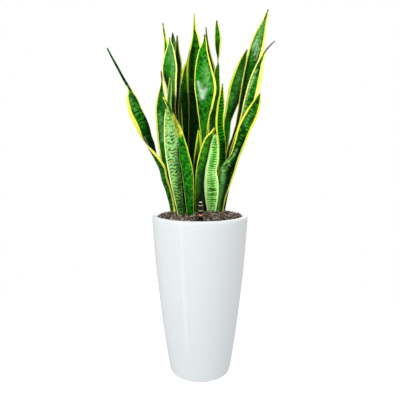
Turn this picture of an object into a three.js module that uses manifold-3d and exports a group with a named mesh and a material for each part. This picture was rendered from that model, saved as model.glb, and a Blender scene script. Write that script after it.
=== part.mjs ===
// Snake plant with yellow-edged leaves in a tall round planter that has a water level gauge.
// Millimetres, +Z up. The origin is the middle of the planter's foot, and the plant is seen from -Y.
import * as THREE from 'three';
import { mergeVertices } from 'three/addons/utils/BufferGeometryUtils.js';
import Module from 'manifold-3d';

const wasm = await Module();
wasm.setup();

// Planter: outer shape
const POT_HEIGHT = 540;
const LIP_ROUND = 9;
const LIP_RADIUS = 160;
const LIP_STEPS = 6;
const BODY_TOP_RADIUS = 161;
const BODY_TAPER = [30.5, 15.6, 10.6];
const BODY_RINGS = [0.2, 0.45, 0.7];
const FOOT_ROUND = 5;
const SIDES = 40;

// Planter: inside
const WALL = 5;
const FLOOR = 6;
const MOUTH_RADIUS = LIP_RADIUS - 2 * LIP_ROUND;
const LEDGE_RADIUS = 137;
const LEDGE_TOP = 516;
const LEDGE_HEIGHT = 10;
const LEDGE_SLOPE = 16;

// Touching pieces keep this gap
const GAP = 0.3;

// Liner: the tub that hangs on the ledge and holds soil and water
const LINER_WALL = 2.5;
const LINER_FLANGE = 3;
const LINER_TOP_RADIUS = 134.5;
const LINER_FOOT_RADIUS = 129;
const LINER_BOTTOM = 262;
const LINER_CHAMFER = 5;

// Separator: the plate that keeps the soil above the water
const RESERVOIR_DEPTH = 52;
const PLATE = 3;
const LEG_COUNT = 5;
const LEG_RADIUS = 10;
const LEG_RING = 72;
const LEG_TAPER = 0.8;
const LEG_SIDES = 8;
const DRAIN_COUNT = 8;
const DRAIN_RADIUS = 5;
const DRAIN_RING = 40;
const DRAIN_SIDES = 6;

// Soil
const SOIL_EDGE = 533;
const SOIL_RISE = 9;
const SOIL_BUMP = 1.2;
const SOIL_RINGS = 7;

// Water level gauge
const GAUGE_X = 2;
const GAUGE_Y = -114;
const SHAFT_RADIUS = 7.3;
const SHAFT_BORE = 5.6;
const SHAFT_FLOOR = 2;
const SHAFT_TOP = 551;
const HEAD_RADIUS = 6.6;
const HEAD_BORE = 5.2;
const HEAD_HEIGHT = 44;
const HEAD_WALL_TOP = 5;
const HEAD_DOME = 1.5;
const HEAD_DOME_THICK = 3;
const HEAD_SHOULDER = 0.75;
const HEAD_RIBS = [15, 31];
const HEAD_RIB = 0.6;
const HEAD_RIB_HEIGHT = 3;
const FLOAT_RADIUS = 5;
const FLOAT_HEIGHT = 40;
const FLOAT_TAPER = 3;
const ROD_RADIUS = 1.1;
const MARKER_RADIUS = 4.2;
const MARKER_HEIGHT = 5;
const MARKER_CHAMFER = 1;
const GAUGE_SIDES = 12;

// Rhizome: the thick joined root stock that the leaves stand on
const RHIZOME_TOP = 481.7;
const RHIZOME_REACH = 126;
const RHIZOME_MIDDLE = 470;
const RHIZOME_THICK = 24;
// middle x and y, half length along x and along y
const RHIZOME_LOBES = [
  [-60, 18, 52, 86],
  [-4, 58, 46, 62],
  [54, 70, 52, 54],
];

// Leaf blade: how its section changes from the root (0) to the tip (1)
const LEAF_COLUMNS = [-1, -0.55, 0, 0.55, 1];
const LEAF_STEPS = 2;
const LEAF_MIDDLE = 0.45;
const TANGENT_STEP = 0.01;
const CORE_LIMIT = 0.5;
const LEAF_BOTTOM = RHIZOME_TOP + GAP;
const ROOT_WIDTH = 20;
const TIP_WIDTH = 2.4;
const EDGE_THICK = 1;
const CORE_THICK = [8, 4.2, 2.4];
const CHANNEL = [0.42, 0.16, 0.2];
const GROWN_BY = 0.45;
const HOLE_RINGS = 4;

// Leaves, each from the soil to the tip as x, y and z of the rib, width of the blade, and turn.
// Turn is the heading of the hollow face in degrees: 0 faces -Y, 90 faces +X, 180 shows its back to -Y.
// A sixth value, where given, says how much deeper the blade is folded there than a plain one.
const LEAVES = {
  leaf_far_left: [
    [-99, 55, 540, 27, 130, 1], [-113, 49, 610, 35, 130, 1], [-127, 42, 655, 38, 130, 1.2],
    [-136, 38, 692, 40, 128, 2], [-151, 33, 720, 42, 113, 3.2], [-163, 31, 742, 43, 92, 4.2],
    [-173, 29, 762, 43, 76, 4.4], [-183, 27, 787, 44, 54, 3.6], [-188, 25, 808, 45, 36, 2.2],
    [-197, 21, 840, 48, 15, 1.4], [-216, 15, 885, 47, 15, 1.2], [-227, 10, 928, 35, 20, 1],
    [-233, 6, 955, 13, 30, 1], [-252, 2, 990, 10, 40, 1], [-267, -2, 1019, 9, 40, 1],
    [-282, -6, 1047, 8, 40, 1], [-300, -10, 1083, 5, 40, 1],
  ],
  leaf_left_rear: [
    [-84, 80, 540, 24, 30], [-112, 75, 670, 40, 25], [-124, 76, 770, 50, 20], [-132, 78, 860, 52, 20],
    [-134.5, 80, 912, 47, 20], [-134.5, 82, 960, 23, 25], [-133, 84, 995, 9, 30], [-136, 87, 1034, 5, 30],
  ],
  leaf_left_pale: [
    [-62, -33, 540, 22, 200], [-71, -37, 610, 32, 195], [-79, -41, 665, 39, 190], [-88, -45, 735, 45, 185],
    [-93, -51, 795, 45, 180], [-101, -56, 855, 25, 175], [-105, -59, 890, 3, 170],
  ],
  leaf_left_front: [
    [-32, -43, 540, 23, 175], [-36, -54, 625, 33, 170], [-40, -61, 680, 37, 165], [-49, -68, 730, 37, 155],
    [-58, -76, 780, 30, 140], [-71, -83, 825, 28, 130], [-86, -89, 860, 20, 125], [-102, -94, 893, 11, 125],
    [-115, -97, 918, 3, 125],
  ],
  leaf_left_short: [
    [-40, -15, 540, 20, 15], [-56, -18, 640, 24, 20], [-75, -26, 740, 24, 25], [-92, -35, 840, 22, 25],
    [-99, -42, 893, 16, 25], [-96, -47, 940, 14, 25], [-94, -50, 965, 9, 20], [-94, -52, 987, 3, 20],
  ],
  leaf_left_slim: [
    [-60, 98, 540, 24, 20], [-92, 104, 725, 28, 10], [-103, 114, 885, 26, 10], [-107, 119, 960, 25, 10],
    [-115, 124, 1025, 36, 10],
    [-119, 131, 1110, 22, 12], [-124, 134, 1150, 12, 15], [-129, 136, 1183, 8, 15], [-133, 138, 1213, 4, 15],
  ],
  leaf_left_glossy: [
    [-52, 0, 540, 25, 0], [-64, -9, 675, 30, 5], [-84, -21, 805, 30, 5], [-92, -30, 885, 28, 5],
    [-91, -34, 920, 30, 5], [-91, -37, 950, 33, 2], [-95.5, -40, 985, 45, 0], [-95, -44, 1015, 48, -5],
    [-93, -49, 1060, 29, -10], [-93, -52, 1085, 11, -10], [-94, -54, 1102, 3, -10],
  ],
  leaf_left_tall: [
    [-48, 62, 540, 24, -15], [-72, 58, 705, 40, -10], [-86, 53, 875, 44, 0], [-86, 52, 1000, 42, 0],
    [-88, 50, 1080, 28, 0], [-90, 49, 1120, 16, 0], [-92, 49, 1150, 3, 0],
  ],
  leaf_left_inner: [
    [-38, 38, 540, 23, 40], [-62, 32, 705, 32, 45], [-84, 25, 875, 32, 50], [-77, 21, 980, 33, 50],
    [-73, 19, 1035, 31, 45], [-75, 17, 1085, 16, 40], [-75, 15, 1130, 5, 40],
  ],
  leaf_middle_tallest: [
    [-22, 68, 540, 24, 10], [-21, 68, 705, 42, 5], [-15, 71, 900, 51, 0], [-19, 75, 1030, 57, 0],
    [-17, 78, 1085, 48, 0], [-15, 79, 1135, 27, 0], [-18, 81, 1175, 11, 0], [-20, 83, 1225, 4, 0],
  ],
  leaf_middle_rear: [
    [-32, 98, 540, 24, -10], [-40, 103, 705, 42, -10], [-44, 113, 870, 45, -10], [-52, 121, 975, 47, -10],
    [-46, 125, 1035, 41, -10], [-37, 127, 1075, 25, -10], [-30, 129, 1115, 3, -10],
  ],
  leaf_middle_broad: [
    [14, 50, 540, 24, 50], [11, 28, 705, 34, 60], [11, 16, 790, 40, 60], [10, 5, 855, 53, 50],
    [15, -8, 910, 61, 22], [17, -18, 960, 70, 0], [11, -26, 1010, 55, 0], [10, -36, 1060, 31, 0],
    [15, -42, 1090, 12, 0], [14, -46, 1113, 4, 0],
  ],
  leaf_middle_behind: [
    [22, 80, 540, 24, 0], [35, 87, 760, 42, 5], [36, 96, 920, 55, 10], [32, 103, 1035, 47, 10],
    [27, 107, 1095, 25, 15], [24, 110, 1140, 11, 15], [21, 114, 1190, 4, 15],
  ],
  leaf_middle_twisted: [
    [38, 70, 540, 24, 0], [44, 56, 705, 34, 5], [43, 51, 845, 34, 10], [50, 35, 940, 36, 20],
    [54, 30, 1005, 31, 45], [59, 27, 1050, 28, 85], [58, 23, 1090, 26, 130], [58, 20, 1120, 24, 150],
    [55, 17, 1160, 12, 155], [55, 15, 1178, 3, 155],
  ],
  leaf_middle_low: [
    [-17, 42, 540, 23, 30], [-13, 19, 655, 28, 30], [-11, 4, 715, 27, 30], [-7, -9, 765, 22, 25],
    [-5, -18, 795, 15, 20], [-5, -27, 825, 3, 20],
  ],
  leaf_middle_front: [
    [-1, 21, 540, 26, 215], [0, 7, 620, 34, 215], [4, -7, 690, 36, 210], [16, -20, 750, 34, 205],
    [27, -29, 790, 24, 200], [39, -33, 810, 12, 200], [49, -38, 830, 3, 200],
  ],
  leaf_right_pale: [
    [41, 44, 540, 30, 180], [40, 32, 595, 46, 180], [39, 21, 640, 50, 180], [36, 10, 685, 46, 195],
    [43, 0, 725, 40, 185], [47, -10, 765, 29, 180], [49, -19, 795, 14, 180], [48, -23, 812, 3, 180],
  ],
  leaf_right_narrow: [
    [60, 78, 540, 23, -20], [75, 65, 655, 28, -20], [77, 50, 765, 28, -15], [67, 36, 845, 28, -10],
    [71, 27, 910, 26, 0], [74, 21, 955, 11, 0], [75, 18, 977, 3, 0],
  ],
  leaf_right_rear: [
    [44, 104, 540, 24, -20], [68, 111, 670, 28, -20], [94, 113, 800, 28, -15], [100, 113, 865, 29, -15],
    [112, 114, 910, 40, -15], [132, 117, 980, 57, -10], [143, 120, 1035, 41, -10],
    [156, 123, 1085, 20, -10], [169, 125, 1117, 4, -10],
  ],
  leaf_right_tallest: [
    [66, 96, 540, 24, 40], [101, 90, 740, 36, 50], [132, 89, 835, 36, 45], [152, 89, 930, 43, 35],
    [171, 88, 1015, 44, 10], [193, 88, 1100, 50, 0], [208, 89, 1155, 38, 0], [220, 88, 1190, 21, 0],
    [235, 89, 1241, 3, 0],
  ],
  leaf_right_curled_tip: [
    [80, 80, 540, 22, 50], [114, 50, 740, 38, 35], [150, 30, 850, 41, 20], [170, 15, 935, 42, 5],
    [185, 4, 990, 40, 0], [195, -3, 1030, 25, -10], [204, -9, 1058, 12, -10], [211, -12, 1072, 7, -10],
    [225, -15, 1088, 5, -10], [241, -17, 1103, 3, -10],
  ],
  leaf_right_front: [
    [71, 55, 540, 25, 190], [76, 46, 590, 32, 190], [85, 33, 640, 46, 188], [94, 23, 685, 54, 185],
    [115, 13, 730, 35, 165], [130, 1, 775, 38, 160], [147, -12, 830, 45, 165], [166, -24, 870, 42, 170],
    [183, -36, 910, 24, 170], [191, -41, 936, 3, 170],
  ],
};

// Materials
const GLOSSY_WHITE = new THREE.MeshStandardMaterial({ color: 0xe6e8ea, roughness: 0.18, metalness: 0 });
const BLACK_PLASTIC = new THREE.MeshStandardMaterial({ color: 0x17171a, roughness: 0.45, metalness: 0 });
const SOIL = new THREE.MeshStandardMaterial({ color: 0x5a4a3f, roughness: 0.95, metalness: 0 });
const ROOT = new THREE.MeshStandardMaterial({ color: 0xc9954f, roughness: 0.7, metalness: 0 });
const LEAF_GREEN = new THREE.MeshStandardMaterial({ color: 0x2f7d16, roughness: 0.35, metalness: 0 });
const LEAF_PALE = new THREE.MeshStandardMaterial({ color: 0x8fc27a, roughness: 0.35, metalness: 0 });
const CLEAR = new THREE.MeshStandardMaterial({ color: 0xdfe4e2, roughness: 0.05, transparent: true, opacity: 0.35 });
const SIGNAL_RED = new THREE.MeshStandardMaterial({ color: 0xd9481c, roughness: 0.4, metalness: 0 });

// Outer radius of the planter's body at a height
function bodyRadius(z) {
  const drop = (POT_HEIGHT - z) / POT_HEIGHT;
  return BODY_TOP_RADIUS - BODY_TAPER[0] * drop - BODY_TAPER[1] * drop ** 2 - BODY_TAPER[2] * drop ** 3;
}

// Points of an arc about (r, z), angles in degrees
function arc(r, z, radius, from, to, steps) {
  const points = [];
  for (let i = 0; i <= steps; i += 1) {
    const angle = THREE.MathUtils.degToRad(from + ((to - from) * i) / steps);
    points.push([r + radius * Math.cos(angle), z + radius * Math.sin(angle)]);
  }
  return points;
}

// Turns a profile of [radius, height] about +Z
function turned(profile, sides) {
  const points = profile.map(([r, z]) => new THREE.Vector2(r, z));
  return new THREE.LatheGeometry(points, sides).rotateX(Math.PI / 2);
}

// Geometry to solid and back
function solid(geometry) {
  const bare = geometry.clone();
  for (const name of ['normal', 'uv']) bare.deleteAttribute(name);
  const merged = mergeVertices(bare, 1e-4);
  const vertProperties = new Float32Array(merged.attributes.position.array);
  const triVerts = new Uint32Array(merged.index.array);
  return new wasm.Manifold(new wasm.Mesh({ numProp: 3, vertProperties, triVerts }));
}

function geometryOf(body) {
  const { vertProperties, triVerts } = body.getMesh();
  const geometry = new THREE.BufferGeometry();
  geometry.setAttribute('position', new THREE.BufferAttribute(new Float32Array(vertProperties), 3));
  geometry.setIndex(new THREE.BufferAttribute(new Uint32Array(triVerts), 1));
  return geometry;
}

function upright(geometry, x, y, z) {
  return geometry.rotateX(Math.PI / 2).translate(x, y, z);
}

// Planter: one double-walled shell with a rolled lip and a ledge for the liner
function planter() {
  const footRadius = bodyRadius(0);
  const outside = BODY_RINGS.map((part) => [bodyRadius(part * POT_HEIGHT), part * POT_HEIGHT]);
  const ledgeFoot = LEDGE_TOP - LEDGE_HEIGHT;
  const slopeFoot = ledgeFoot - LEDGE_SLOPE;
  const inside = BODY_RINGS.toReversed().map((part) => [bodyRadius(part * slopeFoot) - WALL, part * slopeFoot]);
  const lipMiddle = POT_HEIGHT - LIP_ROUND;
  return turned([
    [0, 0],
    ...arc(footRadius - FOOT_ROUND, FOOT_ROUND, FOOT_ROUND, -90, 0, 2),
    ...outside,
    ...arc(LIP_RADIUS - LIP_ROUND, lipMiddle, LIP_ROUND, 0, 180, LIP_STEPS),
    [MOUTH_RADIUS, LEDGE_TOP],
    [LEDGE_RADIUS, LEDGE_TOP],
    [LEDGE_RADIUS, ledgeFoot],
    [bodyRadius(slopeFoot) - WALL, slopeFoot],
    ...inside,
    [footRadius - FOOT_ROUND, FLOOR],
    [0, FLOOR],
  ], SIDES);
}

// Liner radii at a height, outside and inside
function linerOuter(z) {
  const part = (z - LINER_BOTTOM) / (LEDGE_TOP - LINER_BOTTOM);
  return THREE.MathUtils.lerp(LINER_FOOT_RADIUS, LINER_TOP_RADIUS, part);
}

function linerInner(z) {
  return linerOuter(z) - LINER_WALL;
}

function liner() {
  const under = LEDGE_TOP + GAP;
  const top = under + LINER_FLANGE;
  const flangeRadius = MOUTH_RADIUS - GAP;
  const floor = LINER_BOTTOM + LINER_WALL;
  return turned([
    [0, LINER_BOTTOM],
    [LINER_FOOT_RADIUS - LINER_CHAMFER, LINER_BOTTOM],
    [linerOuter(LINER_BOTTOM + LINER_CHAMFER), LINER_BOTTOM + LINER_CHAMFER],
    [LINER_TOP_RADIUS, under],
    [flangeRadius, under],
    [flangeRadius, top],
    [linerInner(LEDGE_TOP), top],
    [linerInner(floor + LINER_CHAMFER), floor + LINER_CHAMFER],
    [linerInner(floor) - LINER_CHAMFER, floor],
    [0, floor],
  ], SIDES);
}

// Separator plate on its legs, with drain holes and the hole for the gauge
const WATER_FLOOR = LINER_BOTTOM + LINER_WALL + GAP;
const PLATE_BOTTOM = WATER_FLOOR + RESERVOIR_DEPTH;
const PLATE_TOP = PLATE_BOTTOM + PLATE;

function separator() {
  const radius = linerInner(PLATE_BOTTOM) - GAP;
  const middle = (PLATE_BOTTOM + PLATE_TOP) / 2;
  let body = solid(upright(new THREE.CylinderGeometry(radius, radius, PLATE, SIDES), 0, 0, middle));
  for (let i = 0; i < LEG_COUNT; i += 1) {
    const angle = (2 * Math.PI * (i + 0.5)) / LEG_COUNT;
    const height = PLATE_BOTTOM + PLATE / 2 - WATER_FLOOR;
    const leg = new THREE.CylinderGeometry(LEG_RADIUS, LEG_RADIUS * LEG_TAPER, height, LEG_SIDES);
    const x = LEG_RING * Math.cos(angle);
    const y = LEG_RING * Math.sin(angle);
    body = body.add(solid(upright(leg, x, y, WATER_FLOOR + height / 2)));
  }
  for (let i = 0; i < DRAIN_COUNT; i += 1) {
    const angle = (2 * Math.PI * i) / DRAIN_COUNT;
    const drain = new THREE.CylinderGeometry(DRAIN_RADIUS, DRAIN_RADIUS, PLATE * 3, DRAIN_SIDES);
    const x = DRAIN_RING * Math.cos(angle);
    const y = DRAIN_RING * Math.sin(angle);
    body = body.subtract(solid(upright(drain, x, y, middle)));
  }
  return geometryOf(body.subtract(gaugeHole(PLATE_BOTTOM - PLATE, PLATE_TOP + PLATE)));
}

// A round hole for the gauge's shaft
function gaugeHole(low, high) {
  const radius = SHAFT_RADIUS + GAP;
  const cutter = new THREE.CylinderGeometry(radius, radius, high - low, GAUGE_SIDES);
  return solid(upright(cutter, GAUGE_X, GAUGE_Y, (low + high) / 2));
}

// Rhizome: three lobes grown together, flat where the leaves stand
function rhizomeBody(extra) {
  let lobes = null;
  for (const [x, y, halfX, halfY] of RHIZOME_LOBES) {
    const lobe = new THREE.SphereGeometry(1, 12, 6);
    lobe.scale(halfX + extra, RHIZOME_THICK + extra, halfY + extra);
    const body = solid(upright(lobe, x, y, RHIZOME_MIDDLE));
    lobes = lobes ? lobes.add(body) : body;
  }
  const reach = RHIZOME_REACH + extra;
  const height = 2 * RHIZOME_THICK + 2;
  const limit = new THREE.CylinderGeometry(reach, reach, height, SIDES);
  return lobes.intersect(solid(upright(limit, 0, 0, RHIZOME_TOP + extra - height / 2)));
}

// Soil height at a place
function soilHeight(x, y) {
  const part = Math.hypot(x, y) / MOUTH_RADIUS;
  const swell = Math.sin(x * 0.31 + y * 0.12) * Math.sin(y * 0.27 - x * 0.09);
  const bump = swell + 0.5 * Math.sin(x * 0.71 - y * 0.53);
  return SOIL_EDGE + SOIL_RISE * (1 - part ** 2) + SOIL_BUMP * bump;
}

// Soil: fills the liner and the mouth above it, with holes for leaves, rhizome and gauge
function soil() {
  const flangeTop = LEDGE_TOP + LINER_FLANGE + 2 * GAP;
  const edge = MOUTH_RADIUS - 2 * GAP;
  const bottom = PLATE_TOP + GAP;
  const surface = [];
  for (let i = 0; i <= SOIL_RINGS; i += 1) {
    surface.push([edge * (1 - i / SOIL_RINGS), SOIL_EDGE]);
  }
  const geometry = turned([
    [0, bottom],
    [linerInner(bottom) - GAP, bottom],
    [linerInner(LEDGE_TOP) - GAP, flangeTop],
    [edge, flangeTop],
    ...surface,
  ], SIDES);
  const position = geometry.attributes.position;
  for (let i = 0; i < position.count; i += 1) {
    const onSurface = position.getZ(i) > SOIL_EDGE - 1;
    if (onSurface) position.setZ(i, soilHeight(position.getX(i), position.getY(i)));
  }
  let body = solid(geometry);
  body = body.subtract(rhizomeBody(GAP));
  body = body.subtract(gaugeHole(PLATE_BOTTOM, SHAFT_TOP));
  for (const stations of Object.values(LEAVES)) {
    body = body.subtract(solid(leaf(stations, GROWN_BY, HOLE_RINGS)));
  }
  return geometryOf(body);
}

// Value at part 0 to 1 of a leaf, from its root, middle and tip values
function along([root, middle, tip], part) {
  const { lerp, smoothstep } = THREE.MathUtils;
  if (part < LEAF_MIDDLE) return lerp(root, middle, smoothstep(part, 0, LEAF_MIDDLE));
  return lerp(middle, tip, (part - LEAF_MIDDLE) / (1 - LEAF_MIDDLE));
}

// Smooth curve through the stations: value of every column between station i and i + 1
function between(stations, lengths, i, t) {
  const slope = (k, column) => {
    const before = Math.max(k - 1, 0);
    const after = Math.min(k + 1, stations.length - 1);
    return (stations[after][column] - stations[before][column]) / (lengths[after] - lengths[before]);
  };
  const span = lengths[i + 1] - lengths[i];
  return stations[i].map((value, column) => {
    const next = stations[i + 1][column];
    const ease = t * t * (3 - 2 * t);
    const leave = (t ** 3 - 2 * t ** 2 + t) * span * slope(i, column);
    const arrive = (t ** 3 - t ** 2) * span * slope(i + 1, column);
    return value + (next - value) * ease + leave + arrive;
  });
}

// One leaf as a closed blade, hollow on one face. It can be grown on all sides, to cut its hole in
// the soil, and cut short after some rings.
function leaf(aboveSoil, grown = 0, ringLimit = Infinity) {
  const [x, y, , , ...turnAndFold] = aboveSoil[0];
  const stations = [[x, y, LEAF_BOTTOM - grown, ROOT_WIDTH, ...turnAndFold], ...aboveSoil];
  const lengths = [0];
  for (let i = 1; i < stations.length; i += 1) {
    const [a, b] = [stations[i - 1], stations[i]];
    lengths.push(lengths[i - 1] + Math.hypot(b[0] - a[0], b[1] - a[1], b[2] - a[2]));
  }
  const whole = lengths[lengths.length - 1];
  const rings = [];
  for (let i = 0; i < stations.length - 1; i += 1) {
    for (let k = 0; k < LEAF_STEPS; k += 1) rings.push([i, k / LEAF_STEPS]);
  }
  rings.push([stations.length - 2, 1]);
  rings.splice(ringLimit);

  const positions = [];
  const columns = LEAF_COLUMNS.length;
  for (const [i, t] of rings) {
    const here = between(stations, lengths, i, t);
    const ahead = between(stations, lengths, i, Math.min(t + TANGENT_STEP, 1));
    const behind = between(stations, lengths, i, Math.max(t - TANGENT_STEP, 0));
    const rib = new THREE.Vector3(...here.slice(0, 3));
    const tangent = new THREE.Vector3(...ahead.slice(0, 3)).sub(new THREE.Vector3(...behind.slice(0, 3)));
    tangent.normalize();
    const heading = THREE.MathUtils.degToRad(here[4]);
    const face = new THREE.Vector3(Math.sin(heading), -Math.cos(heading), 0);
    const across = new THREE.Vector3().crossVectors(tangent, face).normalize();
    face.crossVectors(across, tangent);

    const part = THREE.MathUtils.lerp(lengths[i], lengths[i + 1], t) / whole;
    const half = Math.max(here[3], TIP_WIDTH) / 2;
    const core = Math.min(along(CORE_THICK, part), EDGE_THICK + half * CORE_LIMIT);
    const channel = along(CHANNEL, part) * half * (here[5] ?? 1);
    for (const side of [1, -1]) {
      for (const column of LEAF_COLUMNS) {
        const thick = EDGE_THICK + (core - EDGE_THICK) * (1 - column ** 2) + 2 * grown;
        const point = rib.clone();
        point.addScaledVector(across, column * (half + grown));
        point.addScaledVector(face, channel * column ** 2 + (side * thick) / 2);
        positions.push(point.x, point.y, point.z);
      }
    }
  }

  const ringSize = 2 * columns;
  const indices = [];
  const quad = (a, b, c, d) => indices.push(a, b, c, a, c, d);
  for (let r = 0; r < rings.length - 1; r += 1) {
    const low = r * ringSize;
    const high = low + ringSize;
    for (let c = 0; c < columns - 1; c += 1) {
      quad(low + c, low + c + 1, high + c + 1, high + c);
      indices.push(low + columns + c, high + columns + c + 1, low + columns + c + 1);
      indices.push(low + columns + c, high + columns + c, high + columns + c + 1);
    }
    quad(low, high, high + columns, low + columns);
    quad(low + columns - 1, low + 2 * columns - 1, high + 2 * columns - 1, high + columns - 1);
  }
  const top = (rings.length - 1) * ringSize;
  for (let c = 0; c < columns - 1; c += 1) {
    quad(c, columns + c, columns + c + 1, c + 1);
    quad(top + c, top + c + 1, top + columns + c + 1, top + columns + c);
  }
  const geometry = new THREE.BufferGeometry();
  geometry.setAttribute('position', new THREE.Float32BufferAttribute(positions, 3));
  geometry.setIndex(indices);
  return geometry;
}

// Gauge shaft: black tube from the water up through the soil, closed at its foot
const SHAFT_FOOT = WATER_FLOOR;

function gaugeShaft() {
  return turned([
    [0, SHAFT_FOOT],
    [SHAFT_RADIUS, SHAFT_FOOT],
    [SHAFT_RADIUS, SHAFT_TOP],
    [SHAFT_BORE, SHAFT_TOP],
    [SHAFT_BORE, SHAFT_FOOT + SHAFT_FLOOR],
    [0, SHAFT_FOOT + SHAFT_FLOOR],
  ], GAUGE_SIDES).translate(GAUGE_X, GAUGE_Y, 0);
}

// Gauge head: clear domed tube with two raised rings
function gaugeHead() {
  const foot = SHAFT_TOP + GAP;
  const top = foot + HEAD_HEIGHT;
  const rings = HEAD_RIBS.flatMap((height) => [
    [HEAD_RADIUS, foot + height],
    [HEAD_RADIUS + HEAD_RIB, foot + height],
    [HEAD_RADIUS + HEAD_RIB, foot + height + HEAD_RIB_HEIGHT],
    [HEAD_RADIUS, foot + height + HEAD_RIB_HEIGHT],
  ]);
  return turned([
    [HEAD_BORE, foot],
    [HEAD_RADIUS, foot],
    ...rings,
    [HEAD_RADIUS, top - HEAD_WALL_TOP],
    [HEAD_RADIUS * HEAD_SHOULDER, top - HEAD_DOME],
    [0, top],
    [0, top - HEAD_DOME_THICK],
    [HEAD_BORE * HEAD_SHOULDER, top - HEAD_DOME_THICK - HEAD_DOME],
    [HEAD_BORE, top - HEAD_WALL_TOP - HEAD_DOME],
    [HEAD_BORE, foot],
  ], GAUGE_SIDES).translate(GAUGE_X, GAUGE_Y, 0);
}

// Float, rod and marker in one piece, resting on the shaft's floor
function gaugeFloat() {
  const foot = SHAFT_FOOT + SHAFT_FLOOR + GAP;
  const marker = SHAFT_TOP + GAP;
  return turned([
    [0, foot],
    [FLOAT_RADIUS, foot],
    [FLOAT_RADIUS, foot + FLOAT_HEIGHT],
    [ROD_RADIUS, foot + FLOAT_HEIGHT + FLOAT_TAPER],
    [ROD_RADIUS, marker],
    [MARKER_RADIUS, marker + MARKER_CHAMFER],
    [MARKER_RADIUS, marker + MARKER_HEIGHT - MARKER_CHAMFER],
    [0, marker + MARKER_HEIGHT],
  ], GAUGE_SIDES).translate(GAUGE_X, GAUGE_Y, 0);
}

const plant = new THREE.Group();

function add(name, geometry, material) {
  const mesh = new THREE.Mesh(geometry, material);
  mesh.name = name;
  plant.add(mesh);
}

add('planter', planter(), GLOSSY_WHITE);
add('liner', liner(), BLACK_PLASTIC);
add('separator', separator(), BLACK_PLASTIC);
add('soil', soil(), SOIL);
add('rhizome', geometryOf(rhizomeBody(0)), ROOT);
add('gauge_shaft', gaugeShaft(), BLACK_PLASTIC);
add('gauge_head', gaugeHead(), CLEAR);
add('gauge_float', gaugeFloat(), SIGNAL_RED);
for (const [name, stations] of Object.entries(LEAVES)) {
  add(name, leaf(stations), name.endsWith('pale') ? LEAF_PALE : LEAF_GREEN);
}

export default plant;
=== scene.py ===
import math
import random

import bpy
from mathutils import Euler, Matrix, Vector


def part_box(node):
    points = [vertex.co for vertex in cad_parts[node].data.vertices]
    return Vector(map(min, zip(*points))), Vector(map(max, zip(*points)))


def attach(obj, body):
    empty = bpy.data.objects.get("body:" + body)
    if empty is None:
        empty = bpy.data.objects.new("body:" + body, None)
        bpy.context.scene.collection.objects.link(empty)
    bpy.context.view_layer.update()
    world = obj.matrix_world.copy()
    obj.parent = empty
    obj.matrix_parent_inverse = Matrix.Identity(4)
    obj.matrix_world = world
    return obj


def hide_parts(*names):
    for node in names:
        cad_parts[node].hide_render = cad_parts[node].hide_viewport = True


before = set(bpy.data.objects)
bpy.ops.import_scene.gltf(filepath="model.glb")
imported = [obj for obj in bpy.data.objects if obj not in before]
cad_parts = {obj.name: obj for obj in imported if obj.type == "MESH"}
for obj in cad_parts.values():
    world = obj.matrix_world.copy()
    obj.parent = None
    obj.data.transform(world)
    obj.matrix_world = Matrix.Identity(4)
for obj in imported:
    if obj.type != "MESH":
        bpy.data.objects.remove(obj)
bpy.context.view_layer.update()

MM = 0.001

# Camera, as the photograph was taken
CAMERA_AT = (0, -1.258, 0.717)
CAMERA_DOWN = 5.81
LENS = 33.69
SENSOR = 36

# Planter outline, as in the frame
POT_HEIGHT = 0.540
LIP_ROUND = 0.009
LIP_RADIUS = 0.160
LIP_STEPS = 18
BODY_TOP_RADIUS = 0.161
BODY_TAPER = (0.0305, 0.0156, 0.0106)
BODY_RINGS = 40
FOOT_ROUND = 0.005
FOOT_STEPS = 8
WALL = 0.005
FLOOR = 0.006
MOUTH_RADIUS = LIP_RADIUS - 2 * LIP_ROUND
LEDGE_RADIUS = 0.137
LEDGE_TOP = 0.516
LEDGE_HEIGHT = 0.010
LEDGE_SLOPE = 0.016
POT_SIDES = 128
CREASE = 35

# Soil surface, as in the frame: its waves in radians for each millimetre of x and y
SOIL_EDGE = 0.533
SOIL_RISE = 0.009
SOIL_BUMP = 0.0012
SOIL_WAVES = ((0.31, 0.12), (-0.09, 0.27), (0.71, -0.53))
QUICK_WAVE = 0.5

# Granules on it
GRANULE_EDGE = 0.1405
GRANULE_COUNT = 4600
GRANULE_SIZE = (0.0018, 0.0044)
GRANULE_SINK = (-0.4, 0.9)
GRANULE_STRETCH = (0.72, 1.2)
GRANULE_ROUGH = (0.8, 1.1)
GRANULE_CLEAR = 0.0017
GRANULE_SEED = 41
BLADE_FOOT_STEPS = 6
BALL_SLACK = 1.01

# Water level gauge
GAUGE_AT = (0.002, -0.114)
GAUGE_SIDES = 48
SHAFT_RADIUS = 0.0073
SHAFT_BORE = 0.0056
SHAFT_ROUND = 0.0006
SHAFT_FLOOR = 0.002
HEAD_RADIUS = 0.0066
HEAD_BORE = 0.0052
HEAD_RIBS = (0.015, 0.031)
HEAD_RIB = 0.0006
HEAD_RIB_HEIGHT = 0.003
HEAD_BOTTOM = 0.5513
HEAD_CAP = 0.5932
HEAD_DOME = 0.005
HEAD_HOLLOW = 0.0038
HEAD_HOLLOW_DOWN = 0.0065
HEAD_CROWN = 0.0027
HEAD_EYE = 0.0001
DOME_STEPS = 9
RIB_STEPS = 6
ROD_RADIUS = 0.0011
MARKER_RADIUS = 0.0042
MARKER_HEIGHT = 0.005
MARKER_ROUND = 0.001
FLOAT_RADIUS = 0.005
FLOAT_HEIGHT = 0.040
FLOAT_TAPER = 0.003
# Emission of the marker and of the head's cap: painted light, as neither is a lamp
MARKER_GLOW = 0.6
CAP_GLOW = 0.5

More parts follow.
